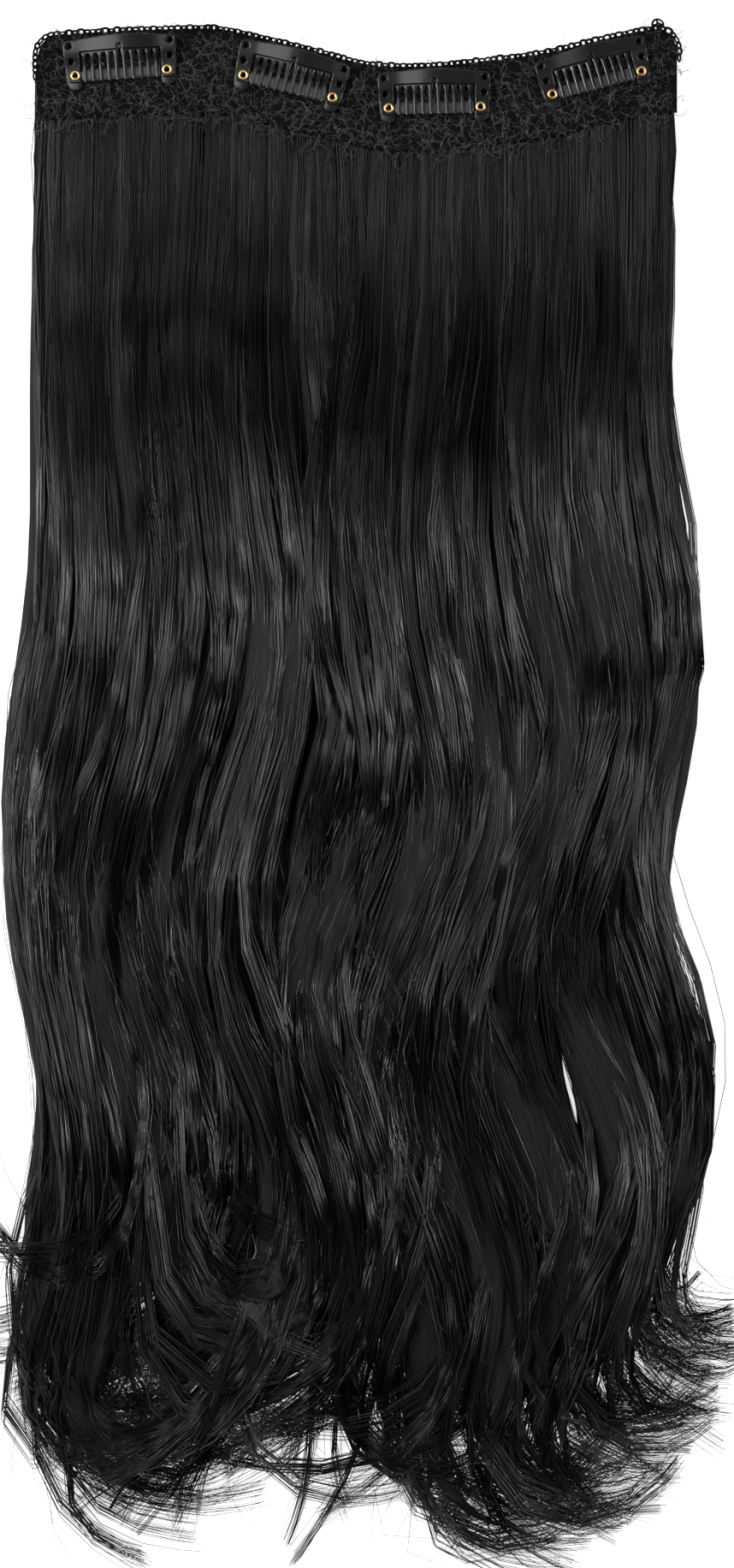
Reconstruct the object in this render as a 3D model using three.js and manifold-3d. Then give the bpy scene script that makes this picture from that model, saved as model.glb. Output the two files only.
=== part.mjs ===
// A clip-in hair extension: one sewn weft of long wavy hair on a net band, with four snap clips.
// It lies on a surface with its clips up. Millimetres, X along the band, +Y from the tips to the band, +Z up.
import * as THREE from "three";
import { mergeVertices } from "three/addons/utils/BufferGeometryUtils.js";
import Module from "manifold-3d";

const wasm = await Module();
wasm.setup();

// Clearance between touching pieces
const GAP = 0.3;

// Net band: its ends, its height and its wavy top edge
const BAND_HALF = 100.5; // half the distance between its two ends
const BAND_SHIFT = -4.8; // the band's middle, beside the middle of the hair
const BAND_HEIGHT = 26;
const BAND_THICKNESS = 1.2;
const EDGE_SAG = 12; // from the highest to the lowest place of the top edge
const CORNER_ROUND = 6;
// Top edge, from the left end to the right: place along the band, and height as a share of the sag
const EDGE = [
  { along: -1.0, height: 0.8 },
  { along: -0.8, height: 0.91 },
  { along: -0.6, height: 0.98 },
  { along: -0.42, height: 0.97 },
  { along: -0.3, height: 0.75 },
  { along: -0.14, height: 0.43 },
  { along: 0.04, height: 0.05 },
  { along: 0.16, height: 0.0 },
  { along: 0.4, height: 0.15 },
  { along: 0.6, height: 0.38 },
  { along: 0.76, height: 0.7 },
  { along: 0.92, height: 0.97 },
  { along: 1.0, height: 1.0 },
];
const EDGE_STEPS = 20;

// Edge cord, crocheted along the top of the band
const CORD_RADIUS = 0.9;
const CORD_SIDES = 5;
const CORD_STEPS = 26;

// Hair: a flat root mat under the band, and the locks that fall from it
const FALL_LENGTH = 476; // of a lock with length 1, along its waves
const MAT_THICKNESS = 4.2;
const MAT_INSET = 2.5;
const MAT_HEIGHT = 22;
const ROOT_DROP = 12; // from the top edge to where locks leave the mat
const ROUTE_STEPS = 60;
const SWELL_FROM = 0.09; // where a lock starts to swell, as a share of its length
const FULL_AT = 0.3; // where it has its full thickness
const SWAY_AT = 0.65; // and its full sway
const TAPER_AT = 0.78;
const TIP_SHARE = 0.32; // a tip's width and thickness against the lock's own
const ROOT_SHARE = 0.85; // and a root's width
const LOCK_HALF_WIDE = 10; // of a lock with wide 1
const LOCK_HALF_THICK = 5; // of a lock with thick 1
const LOCK_LEVEL = 10; // the middle's height of a lock with level 1

// Upper locks, left to right. root: share of the band's half length. lean: drift to the right, in degrees. sway: the
// waves' heading, in degrees, with crests to the right, or to the left where minus. waves: their number in a length.
// crest: share of the length at a crest. curl: the tip's turn, in degrees, plus to the right, and from: where it
// begins. wide, thick and level: half width, half thickness and the middle's height, as shares of those named above.
const UPPER_LOCKS = [
  { root: -0.94, lean: -0.75, sway: -13, waves: 2.5, crest: 0.52, curl: 120, from: 0.82, length: 1.0, wide: 0.8, thick: 0.9, level: 0.5 },
  { root: -0.83, lean: -0.2, sway: -17, waves: 2.5, crest: 0.53, curl: 105, from: 0.82, length: 1.03, wide: 1, thick: 1.1, level: 0.8 },
  { root: -0.67, lean: -0.5, sway: -20, waves: 2.5, crest: 0.55, curl: 215, from: 0.73, length: 1.01, wide: 1.2, thick: 1.1, level: 1.1 },
  { root: -0.49, lean: -1.2, sway: -21, waves: 2.6, crest: 0.58, curl: -66, from: 0.82, length: 0.95, wide: 1.2, thick: 1.1, level: 0.85 },
  { root: -0.3, lean: -0.3, sway: -22, waves: 2.6, crest: 0.56, curl: -85, from: 0.82, length: 1.01, wide: 1.2, thick: 1.1, level: 1.15 },
  { root: -0.12, lean: 2.4, sway: -24, waves: 2.7, crest: 0.53, curl: 75, from: 0.84, length: 1.0, wide: 1.1, thick: 1.1, level: 0.95 },
  { root: 0.05, lean: -2.4, sway: 22, waves: 2.8, crest: 0.46, curl: -60, from: 0.82, length: 0.96, wide: 1.2, thick: 1.1, level: 1.2 },
  { root: 0.22, lean: -1.4, sway: 24, waves: 2.8, crest: 0.45, curl: 125, from: 0.8, length: 1.04, wide: 1.2, thick: 1.1, level: 0.9 },
  { root: 0.4, lean: -0.6, sway: 24, waves: 2.8, crest: 0.44, curl: 115, from: 0.82, length: 1.03, wide: 1.2, thick: 1.1, level: 1.15 },
  { root: 0.57, lean: 0.0, sway: 24, waves: 2.85, crest: 0.43, curl: 100, from: 0.84, length: 1.0, wide: 1.2, thick: 1.1, level: 0.85 },
  { root: 0.74, lean: 0.4, sway: 22, waves: 2.9, crest: 0.42, curl: 90, from: 0.86, length: 0.97, wide: 1.1, thick: 1.1, level: 0.8 },
  { root: 0.91, lean: 0.7, sway: 19, waves: 2.9, crest: 0.41, curl: 80, from: 0.88, length: 0.91, wide: 0.9, thick: 0.9, level: 0.5 },
];

// Under locks: the broad flat ones that lie on the surface and close the curtain
const UNDER_LOCKS = [
  { root: -0.83, lean: -0.5, sway: -12, waves: 2.5, crest: 0.5, curl: 60, from: 0.82, length: 0.97, wide: 1.9, thick: 0.7, level: 0.25 },
  { root: -0.44, lean: -0.5, sway: -12, waves: 2.6, crest: 0.54, curl: -40, from: 0.82, length: 0.97, wide: 2.4, thick: 0.7, level: 0.25 },
  { root: -0.02, lean: -0.6, sway: -10, waves: 2.7, crest: 0.54, curl: -60, from: 0.8, length: 0.92, wide: 2.3, thick: 0.7, level: 0.25 },
  { root: 0.4, lean: 0.5, sway: 13, waves: 2.8, crest: 0.45, curl: 60, from: 0.84, length: 0.97, wide: 2.4, thick: 0.7, level: 0.25 },
  { root: 0.79, lean: 0.9, sway: 15, waves: 2.9, crest: 0.42, curl: 60, from: 0.86, length: 0.92, wide: 1.9, thick: 0.7, level: 0.25 },
];
// How finely each kind of lock is faceted, and how much closer its rings stand at the tip
const UPPER_FACETS = { sides: 6, steps: 16 };
const UNDER_FACETS = { sides: 6, steps: 9 };
const CROWDING = 1.45;
const SMOOTHING = 0.12; // facets flatter than this are merged

// Snap clip: a domed front plate with a comb behind its arch, riveted to a flat back frame with a rubber sleeve
const EYELET_REACH = 14.4; // from the clip's middle to each eyelet
const PLATE_HALF = 17.9;
const FOOT_HALF = 17;
const FOOT_DROP = 2.2; // below the eyelets' line
const CORNER_RISE = 10.6; // the plate's upper corners, above the eyelets' line
const ARCH_PEAK = 11.8;
const WINDOW_HALF = 12.8;
const WINDOW_TOP = 7.2;
const PLATE_THICKNESS = 0.55;
const LEG_RISE = 0.9; // the legs lean out this far, from their feet to the arch
const DOME = 1.0; // and the arch bulges this much more
const NOTCH_HALF = 0.9;
const NOTCH_HEIGHT = 1.7;
const ARCH_STEPS = 6;
const WINDOW_STEPS = [0.8, 0.6, 0.4, 0.2];
const HOLE_RADIUS = 1;
const HOLE_SIDES = 7;
const BACK_SIDES = 6; // of the same holes in the frame behind
const SEW_HOLES = [
  { out: 15.9, up: 9.2 },
  { out: 15.5, up: 4.4 },
];

const SHEET = 0.4; // the back frame's and the comb's steel
const FRAME_HALF = 17.3;
const FRAME_TOP = 10.4;
const FRAME_ARCH = 1.2; // its top bar's height
const FRAME_CORNER = 0.8;
const EAR_DROP = 2.5; // the ears' middle, below the eyelets' line
const EAR_RADIUS = 1.9;
const BAR_HALF = 1.2;

const SLEEVE_HEIGHT = 3.9;
const SLEEVE_WALL = 0.3;
const SLEEVE_ROUND = 0.5;

const TEETH = 10;
const TOOTH_PITCH = 2.5;
const TOOTH_WIDTH = 1.2;
const TIP_WIDTH = 0.6;
const TIP_DROP = 3.3; // the teeth's tips, below the eyelets' line
const TIP_DIP = 0.7; // and how far they bend back
const SLOT_TOP = 6.7; // the slots' upper ends
const STRIP_HALF = 12.3;
const STRIP_HEIGHT = 2;
const STRIP_STEPS = 8;

const EYELET_BORE = 0.75;
const EYELET_BARREL = 1.0;
const EYELET_FLANGE = 1.65;
const FLANGE_THICKNESS = 0.3;
const EYELET_SIDES = 10;

// Clips along the band: place and tilt in degrees
const CLIP_DROP = 13.2; // from the top edge to the eyelets' line
const CLIPS = [
  { along: -0.736, tilt: 4 },
  { along: -0.216, tilt: -14 },
  { along: 0.242, tilt: 1 },
  { along: 0.748, tilt: 14.5 },
];

const steel = new THREE.MeshStandardMaterial({ color: 0x0c0c0d, roughness: 0.12, metalness: 0.3 });
const brass = new THREE.MeshStandardMaterial({ color: 0xd9a94e, roughness: 0.25, metalness: 1 });
const rubber = new THREE.MeshStandardMaterial({ color: 0x2c2c2e, roughness: 0.45, metalness: 0 });
const net = new THREE.MeshStandardMaterial({ color: 0x141415, roughness: 0.9, metalness: 0 });
const hair = new THREE.MeshStandardMaterial({ color: 0x121213, roughness: 0.45, metalness: 0 });

// Solids that are joined and cut

function toSolid(geometry) {
  const bare = geometry.clone();
  bare.deleteAttribute("normal");
  bare.deleteAttribute("uv");
  const merged = mergeVertices(bare, 1e-4);
  const mesh = new wasm.Mesh({
    numProp: 3,
    vertProperties: new Float32Array(merged.attributes.position.array),
    triVerts: new Uint32Array(merged.index.array),
  });
  return new wasm.Manifold(mesh);
}

function toGeometry(solid) {
  const mesh = solid.getMesh();
  return new THREE.BufferGeometry()
    .setAttribute("position", new THREE.BufferAttribute(mesh.vertProperties, 3))
    .setIndex(new THREE.BufferAttribute(mesh.triVerts, 1))
    .toNonIndexed();
}

// The same solid with the pockets that crossing locks close off filled in. Such a pocket's shell has a negative volume.
function filled(solid) {
  const shells = solid.decompose().filter((shell) => shell.volume() > 0);
  return shells.reduce((sum, shell) => sum.add(shell));
}

// Moves each vertex of a geometry to where place(x, y, z) says
function shaped(geometry, place) {
  const position = geometry.attributes.position;
  for (let i = 0; i < position.count; i++) {
    const moved = place(position.getX(i), position.getY(i), position.getZ(i));
    position.setXYZ(i, moved.x, moved.y, moved.z);
  }
  geometry.computeVertexNormals();
  return geometry;
}

const extruded = (shape, depth, curveSegments = 3) =>
  new THREE.ExtrudeGeometry(shape, { depth, bevelEnabled: false, curveSegments });

function roundHole(x, y, radius, sides = HOLE_SIDES) {
  const hole = new THREE.Path();
  for (let i = 0; i < sides; i++) {
    const angle = (2 * Math.PI * (i + 0.5)) / sides;
    const point = [x + radius * Math.cos(angle), y + radius * Math.sin(angle)];
    if (i === 0) hole.moveTo(...point);
    else hole.lineTo(...point);
  }
  hole.closePath();
  return hole;
}

// Band

const MAT_TOP = MAT_THICKNESS;
const BAND_BOTTOM = MAT_TOP + GAP;
const BAND_TOP = BAND_BOTTOM + BAND_THICKNESS;

const edgeCurve = new THREE.CatmullRomCurve3(
  EDGE.map(({ along, height }) => new THREE.Vector3(BAND_SHIFT + along * BAND_HALF, height * EDGE_SAG, 0)),
  false,
  "centripetal",
);

// The top edge's height at a place along the band, from -1 to 1
function edgeHeight(along) {
  const x = BAND_SHIFT + along * BAND_HALF;
  let low = 0;
  let high = 1;
  for (let i = 0; i < 30; i++) {
    const middle = (low + high) / 2;
    if (edgeCurve.getPoint(middle).x < x) low = middle;
    else high = middle;
  }
  return edgeCurve.getPoint(low).y;
}

// A strip that follows the top edge, from one depth below it to another, with cut corners at its upper ends
function stripShape(upper, lower, inset, corner) {
  const half = BAND_HALF - inset;
  const shape = new THREE.Shape();
  const alongs = Array.from({ length: EDGE_STEPS + 1 }, (_, i) => ((2 * i) / EDGE_STEPS - 1) * (half / BAND_HALF));
  const point = (along, depth) => [BAND_SHIFT + along * BAND_HALF, edgeHeight(along) - depth];
  const cut = corner / BAND_HALF;
  const first = alongs[0];
  const last = alongs[EDGE_STEPS];
  shape.moveTo(...point(first, upper + corner));
  shape.lineTo(...point(first + cut * 0.3, upper + corner * 0.3));
  shape.lineTo(...point(first + cut, upper));
  for (const along of alongs.slice(1, -1)) shape.lineTo(...point(along, upper));
  shape.lineTo(...point(last - cut, upper));
  shape.lineTo(...point(last - cut * 0.3, upper + corner * 0.3));
  shape.lineTo(...point(last, upper + corner));
  for (const along of alongs.reverse()) shape.lineTo(...point(along, lower));
  shape.closePath();
  return shape;
}

function bandMesh() {
  const geometry = extruded(stripShape(0, BAND_HEIGHT, 0, CORNER_ROUND), BAND_THICKNESS);
  geometry.translate(0, 0, BAND_BOTTOM);
  return named("net_band", geometry, net);
}

function cordMesh() {
  const lift = CORD_RADIUS + GAP;
  const reach = 1 - (2 * CORNER_ROUND) / BAND_HALF;
  const points = [];
  for (let i = 0; i <= EDGE_STEPS; i++) {
    const along = ((2 * i) / EDGE_STEPS - 1) * reach;
    const x = BAND_SHIFT + along * BAND_HALF;
    points.push(new THREE.Vector3(x, edgeHeight(along) + lift, BAND_BOTTOM + BAND_THICKNESS / 2));
  }
  const section = new THREE.Shape(roundSection(CORD_RADIUS, CORD_SIDES));
  const route = new THREE.CatmullRomCurve3(points, false, "centripetal");
  const geometry = new THREE.ExtrudeGeometry(section, { steps: CORD_STEPS, extrudePath: route });
  return named("edge_cord", geometry, net);
}

function roundSection(radius, sides) {
  return Array.from({ length: sides }, (_, i) => {
    const angle = (2 * Math.PI * i) / sides;
    return new THREE.Vector2(radius * Math.cos(angle), radius * Math.sin(angle));
  });
}

// Hair

// A lock's middle line. It is walked from the root in short steps, and its heading sways more and more on the way,
// then turns into the tip's curl. A heading of 0 is straight down.
function lockRoute({ root, lean, sway, waves, crest, curl, from, length }) {
  const start = edgeHeight(root) - ROOT_DROP;
  const step = (length * FALL_LENGTH) / ROUTE_STEPS;
  const point = new THREE.Vector3(BAND_SHIFT + root * BAND_HALF, start, 0);
  const points = [point.clone()];
  for (let i = 0; i < ROUTE_STEPS; i++) {
    const along = (i + 0.5) / ROUTE_STEPS;
    const wave = sway * rise(along, 0, SWAY_AT) * Math.sin(2 * Math.PI * waves * (along - crest));
    const heading = THREE.MathUtils.degToRad(lean - wave + curl * rise(along, from, 1));
    point.x += step * Math.sin(heading);
    point.y -= step * Math.cos(heading);
    points.push(point.clone());
  }
  return new THREE.CatmullRomCurve3(points);
}

// From 0 at low to 1 at high, smoothly
const rise = (value, low, high) => THREE.MathUtils.smoothstep(value, low, high);

// One lock as a flattened tube along its route. It is thin at the mat, full in its fall and narrow at its tip.
function lockSolid(lock, { sides, steps }) {
  const route = lockRoute(lock);
  const rootThick = MAT_THICKNESS * 0.4;
  const wide = lock.wide * LOCK_HALF_WIDE;
  const thick = lock.thick * LOCK_HALF_THICK;
  const level = lock.level * LOCK_LEVEL;
  const tube = new THREE.CylinderGeometry(1, 1, 1, sides, steps);
  return toSolid(
    shaped(tube, (x, y, z) => {
      const along = 1 - (0.5 + y) ** CROWDING;
      const middle = route.getPointAt(along);
      const tangent = route.getTangentAt(along);
      const full = rise(along, SWELL_FROM, FULL_AT);
      const taper = 1 - (1 - TIP_SHARE) * rise(along, TAPER_AT, 1);
      const halfThick = THREE.MathUtils.lerp(rootThick, thick, full) * taper;
      const height = THREE.MathUtils.lerp(MAT_THICKNESS / 2, level, full);
      const settled = THREE.MathUtils.lerp(height, Math.min(height, halfThick + 1), rise(along, 0.84, 1));
      const halfWide = wide * THREE.MathUtils.lerp(ROOT_SHARE, 1, full) * taper;
      return new THREE.Vector3(
        middle.x - tangent.y * x * halfWide,
        middle.y + tangent.x * x * halfWide,
        settled + z * halfThick,
      );
    }),
  );
}

function hairMesh() {
  const mat = extruded(stripShape(MAT_INSET, MAT_HEIGHT, MAT_INSET, CORNER_ROUND), MAT_THICKNESS);
  const solids = [
    toSolid(mat),
    ...UNDER_LOCKS.map((lock) => lockSolid(lock, UNDER_FACETS)),
    ...UPPER_LOCKS.map((lock) => lockSolid(lock, UPPER_FACETS)),
  ];
  const size = 4 * FALL_LENGTH;
  const ground = toSolid(new THREE.BoxGeometry(size, size, size).translate(0, 0, -size / 2));
  const joined = solids.reduce((sum, solid) => sum.add(solid)).subtract(ground);
  return named("hair_fall", toGeometry(filled(joined.simplify(SMOOTHING))), hair);
}

// Clip, in its own frame: X along the eyelets' line, Y towards the arch, Z out from the band's face

const FLANGE_BACK = GAP + 0.05;
const FRAME_BACK = FLANGE_BACK + FLANGE_THICKNESS + GAP;
const PLATE_BACK = FRAME_BACK + SHEET + GAP;
const FLANGE_FRONT = PLATE_BACK + PLATE_THICKNESS + GAP;
const SLEEVE_DEPTH = SHEET + 2 * (GAP + SLEEVE_WALL);
const SLEEVE_BACK = FRAME_BACK + SHEET / 2 - SLEEVE_DEPTH / 2;
const SLEEVE_FRONT = SLEEVE_BACK + SLEEVE_DEPTH;

// How much the dome lifts a place across the clip: none at the legs, all of it in the middle
const bulge = (x) => DOME * Math.max(0, 1 - (x / WINDOW_HALF) ** 2) ** 2;
const lean = (y) => LEG_RISE * rise(y, EYELET_FLANGE, WINDOW_TOP);
const plateLift = (x, y) => lean(y) + bulge(x) * rise(y, 0, WINDOW_TOP);

function plateMesh(name) {
  const shape = new THREE.Shape();
  const across = Array.from({ length: ARCH_STEPS + 1 }, (_, i) => (2 * i) / ARCH_STEPS - 1);
  shape.moveTo(-WINDOW_HALF, -FOOT_DROP);
  shape.lineTo(-FOOT_HALF + 1.4, -FOOT_DROP);
  shape.quadraticCurveTo(-FOOT_HALF, -FOOT_DROP, -FOOT_HALF, -FOOT_DROP + 1.6);
  shape.lineTo(-PLATE_HALF, CORNER_RISE - 1.6);
  for (const share of across) {
    const arch = CORNER_RISE + (ARCH_PEAK - CORNER_RISE) * (1 - share * share);
    shape.lineTo(share * (PLATE_HALF - 1.3), arch);
  }
  shape.lineTo(PLATE_HALF, CORNER_RISE - 1.6);
  shape.lineTo(FOOT_HALF, -FOOT_DROP + 1.6);
  shape.quadraticCurveTo(FOOT_HALF, -FOOT_DROP, FOOT_HALF - 1.4, -FOOT_DROP);
  shape.lineTo(WINDOW_HALF, -FOOT_DROP);
  shape.lineTo(WINDOW_HALF, WINDOW_TOP - 0.8);
  shape.lineTo(WINDOW_HALF - 0.8, WINDOW_TOP);
  for (const share of WINDOW_STEPS) shape.lineTo(WINDOW_HALF * share, WINDOW_TOP);
  shape.lineTo(NOTCH_HALF, WINDOW_TOP);
  shape.lineTo(NOTCH_HALF * 0.6, WINDOW_TOP + NOTCH_HEIGHT);
  shape.lineTo(-NOTCH_HALF * 0.6, WINDOW_TOP + NOTCH_HEIGHT);
  shape.lineTo(-NOTCH_HALF, WINDOW_TOP);
  for (const share of [...WINDOW_STEPS].reverse()) shape.lineTo(-WINDOW_HALF * share, WINDOW_TOP);
  shape.lineTo(-WINDOW_HALF + 0.8, WINDOW_TOP);
  shape.lineTo(-WINDOW_HALF, WINDOW_TOP - 0.8);
  shape.closePath();
  for (const side of [-1, 1]) {
    shape.holes.push(roundHole(side * EYELET_REACH, 0, EYELET_BARREL + GAP));
    for (const { out, up } of SEW_HOLES) shape.holes.push(roundHole(side * out, up, HOLE_RADIUS));
  }
  const geometry = shaped(
    extruded(shape, PLATE_THICKNESS),
    (x, y, z) => new THREE.Vector3(x, y, PLATE_BACK + z + plateLift(x, y)),
  );
  return named(name, geometry, steel);
}

// The comb's middle: behind the arch at its root, over the sleeve further down, and bent back at the tips
function combMiddle(x, y) {
  const atRoot = PLATE_BACK + LEG_RISE + bulge(x) - GAP - SHEET;
  const overSleeve = SLEEVE_FRONT + GAP + SHEET / 2 + bulge(x) * 0.5;
  const slope = 1 - rise(y, SLEEVE_HEIGHT / 2 + 0.3, SLOT_TOP);
  const dip = TIP_DIP * rise(-y, SLEEVE_HEIGHT / 2 + 0.3, TIP_DROP);
  return THREE.MathUtils.lerp(atRoot, overSleeve, slope) - dip;
}

// One tooth, from inside the strip down to its tip
function toothSolid(middle) {
  const over = SLEEVE_HEIGHT / 2 + 0.3;
  const levels = [SLOT_TOP + STRIP_HEIGHT / 2, SLOT_TOP - 1.2, over, -over, -TIP_DROP];
  const tooth = new THREE.BoxGeometry(1, 1, SHEET, 1, levels.length - 1, 1);
  return toSolid(
    shaped(tooth, (x, y, z) => {
      const level = Math.round((0.5 - y) * (levels.length - 1));
      const height = levels[level];
      const inside = level === 0 ? 0.7 : 1;
      const width = THREE.MathUtils.lerp(TOOTH_WIDTH, TIP_WIDTH, rise(-height, -SLOT_TOP, TIP_DROP));
      return new THREE.Vector3(middle + x * width, height, combMiddle(middle, height) + z * inside);
    }),
  );
}

function combMesh(name) {
  const strip = shaped(
    new THREE.BoxGeometry(2 * STRIP_HALF, STRIP_HEIGHT, SHEET, STRIP_STEPS, 1, 1),
    (x, y, z) => {
      const height = SLOT_TOP + STRIP_HEIGHT / 2 + y;
      return new THREE.Vector3(x, height, combMiddle(x, SLOT_TOP) + z * 1.1);
    },
  );
  const notch = new THREE.BoxGeometry(2 * NOTCH_HALF, NOTCH_HEIGHT, 4 * DOME);
  notch.translate(0, SLOT_TOP, PLATE_BACK + DOME);
  const places = Array.from({ length: TEETH }, (_, i) => (i - (TEETH - 1) / 2) * TOOTH_PITCH);
  const teeth = places.map((place) => toothSolid(place));
  const comb = teeth.reduce((sum, tooth) => sum.add(tooth), toSolid(strip).subtract(toSolid(notch)));
  return named(name, toGeometry(comb), steel);
}

function frameMesh(name) {
  const shape = new THREE.Shape();
  const earBottom = -EAR_DROP - EAR_RADIUS;
  const inner = EYELET_REACH - EAR_RADIUS;
  const outer = EYELET_REACH + EAR_RADIUS;
  shape.moveTo(-inner, -BAR_HALF);
  shape.lineTo(-inner, -EAR_DROP);
  shape.quadraticCurveTo(-inner, earBottom, -EYELET_REACH, earBottom);
  shape.quadraticCurveTo(-outer, earBottom, -outer - 0.2, -EAR_DROP);
  shape.lineTo(-FRAME_HALF, 0);
  shape.lineTo(-FRAME_HALF - 0.3, FRAME_TOP / 2);
  shape.lineTo(-FRAME_HALF, FRAME_TOP - FRAME_CORNER);
  shape.lineTo(-FRAME_HALF + FRAME_CORNER, FRAME_TOP);
  shape.lineTo(FRAME_HALF - FRAME_CORNER, FRAME_TOP);
  shape.lineTo(FRAME_HALF, FRAME_TOP - FRAME_CORNER);
  shape.lineTo(FRAME_HALF + 0.3, FRAME_TOP / 2);
  shape.lineTo(FRAME_HALF, 0);
  shape.lineTo(outer + 0.2, -EAR_DROP);
  shape.quadraticCurveTo(outer, earBottom, EYELET_REACH, earBottom);
  shape.quadraticCurveTo(inner, earBottom, inner, -EAR_DROP);
  shape.lineTo(inner, -BAR_HALF);
  shape.closePath();
  const window = new THREE.Path();
  const windowHalf = WINDOW_HALF - 0.1;
  window.moveTo(-windowHalf, BAR_HALF);
  window.lineTo(windowHalf, BAR_HALF);
  window.lineTo(windowHalf, FRAME_TOP - FRAME_ARCH);
  window.lineTo(-windowHalf, FRAME_TOP - FRAME_ARCH);
  window.closePath();
  shape.holes.push(window);
  for (const side of [-1, 1]) {
    shape.holes.push(roundHole(side * EYELET_REACH, 0, EYELET_BARREL + GAP));
    for (const { out, up } of SEW_HOLES) shape.holes.push(roundHole(side * out, up, HOLE_RADIUS, BACK_SIDES));
  }
  const geometry = extruded(shape, SHEET, 2);
  geometry.translate(0, 0, FRAME_BACK);
  return named(name, geometry, steel);
}

function sleeveMesh(name) {
  const high = SLEEVE_HEIGHT / 2;
  const deep = SLEEVE_DEPTH / 2;
  const round = SLEEVE_ROUND;
  const shape = new THREE.Shape();
  shape.moveTo(high - round, -deep);
  shape.quadraticCurveTo(high, -deep, high, -deep + round);
  shape.lineTo(high, deep - round);
  shape.quadraticCurveTo(high, deep, high - round, deep);
  shape.lineTo(-high + round, deep);
  shape.quadraticCurveTo(-high, deep, -high, deep - round);
  shape.lineTo(-high, -deep + round);
  shape.quadraticCurveTo(-high, -deep, -high + round, -deep);
  shape.closePath();
  const boreHigh = BAR_HALF + GAP;
  const boreDeep = SHEET / 2 + GAP;
  const bore = new THREE.Path();
  bore.moveTo(-boreHigh, -boreDeep);
  bore.lineTo(boreHigh, -boreDeep);
  bore.lineTo(boreHigh, boreDeep);
  bore.lineTo(-boreHigh, boreDeep);
  bore.closePath();
  shape.holes.push(bore);
  const length = 2 * (EYELET_REACH - EAR_RADIUS - GAP);
  const middle = SLEEVE_BACK + deep;
  const geometry = shaped(
    extruded(shape, length, 2),
    (y, z, x) => new THREE.Vector3(x - length / 2, y, middle + z),
  );
  return named(name, geometry, rubber);
}

function eyeletMesh(name, side) {
  const top = FLANGE_FRONT + FLANGE_THICKNESS;
  const profile = [
    [EYELET_BORE, FLANGE_BACK],
    [EYELET_FLANGE, FLANGE_BACK],
    [EYELET_FLANGE, FLANGE_BACK + FLANGE_THICKNESS],
    [EYELET_BARREL, FLANGE_BACK + FLANGE_THICKNESS],
    [EYELET_BARREL, FLANGE_FRONT],
    [EYELET_FLANGE, FLANGE_FRONT],
    [EYELET_BORE, top],
    [EYELET_BORE, FLANGE_BACK],
  ];
  const points = profile.map(([radius, height]) => new THREE.Vector2(radius, height));
  const geometry = new THREE.LatheGeometry(points, EYELET_SIDES);
  geometry.rotateX(Math.PI / 2);
  geometry.translate(side * EYELET_REACH, 0, 0);
  return named(name, geometry, brass);
}

function clipGroup({ along, tilt }, number) {
  const clip = new THREE.Group();
  const prefix = `clip_${number}_`;
  clip.add(
    frameMesh(prefix + "back_frame"),
    sleeveMesh(prefix + "sleeve"),
    plateMesh(prefix + "plate"),
    combMesh(prefix + "comb"),
    eyeletMesh(prefix + "eyelet_left", -1),
    eyeletMesh(prefix + "eyelet_right", 1),
  );
  clip.position.set(BAND_SHIFT + along * BAND_HALF, edgeHeight(along) - CLIP_DROP, BAND_TOP);
  clip.rotation.z = THREE.MathUtils.degToRad(tilt);
  return clip;
}

function named(name, geometry, material) {
  const mesh = new THREE.Mesh(geometry, material);
  mesh.name = name;
  return mesh;
}

const extension = new THREE.Group();
extension.add(hairMesh(), bandMesh(), cordMesh());
CLIPS.forEach((clip, i) => extension.add(clipGroup(clip, i + 1)));

// The origin is under the middle of the whole piece, on the surface that it lies on
extension.updateMatrixWorld(true);
const middle = new THREE.Box3().setFromObject(extension).getCenter(new THREE.Vector3());
extension.position.set(-middle.x, -middle.y, 0);

export default extension;
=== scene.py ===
"""A clip-in hair extension: a weft of long, wavy, black hair on a net band with four snap clips, clips up."""
import math

import bmesh
import bpy
import numpy as np
from mathutils import Matrix, Vector


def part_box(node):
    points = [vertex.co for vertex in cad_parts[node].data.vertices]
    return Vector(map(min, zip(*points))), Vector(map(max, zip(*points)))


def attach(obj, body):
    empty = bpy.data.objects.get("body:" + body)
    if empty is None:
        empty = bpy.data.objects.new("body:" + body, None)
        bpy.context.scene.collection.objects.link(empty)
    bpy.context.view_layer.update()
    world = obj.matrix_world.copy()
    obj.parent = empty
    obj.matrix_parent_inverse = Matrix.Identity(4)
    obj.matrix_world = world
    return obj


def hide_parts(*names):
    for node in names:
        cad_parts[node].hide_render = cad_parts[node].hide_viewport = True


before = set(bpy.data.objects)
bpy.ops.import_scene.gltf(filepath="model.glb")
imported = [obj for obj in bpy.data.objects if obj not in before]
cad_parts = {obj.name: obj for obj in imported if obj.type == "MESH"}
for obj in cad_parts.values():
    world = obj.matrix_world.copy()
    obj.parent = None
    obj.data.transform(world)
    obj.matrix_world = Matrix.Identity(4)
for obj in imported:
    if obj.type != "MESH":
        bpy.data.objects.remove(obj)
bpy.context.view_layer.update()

# Camera: it looks straight down on the weft, which fills a tall picture from edge to edge.
PICTURE_TALL = 1832
PIXEL_M = 0.00027  # of the surface, seen by one pixel
LENS_MM = 85
SENSOR_MM = 36
BESIDE_BAND_M = 0.0031  # the picture's middle, from the band's middle
BELOW_BAND_M = 0.19892  # and from the band's lower edge

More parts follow.
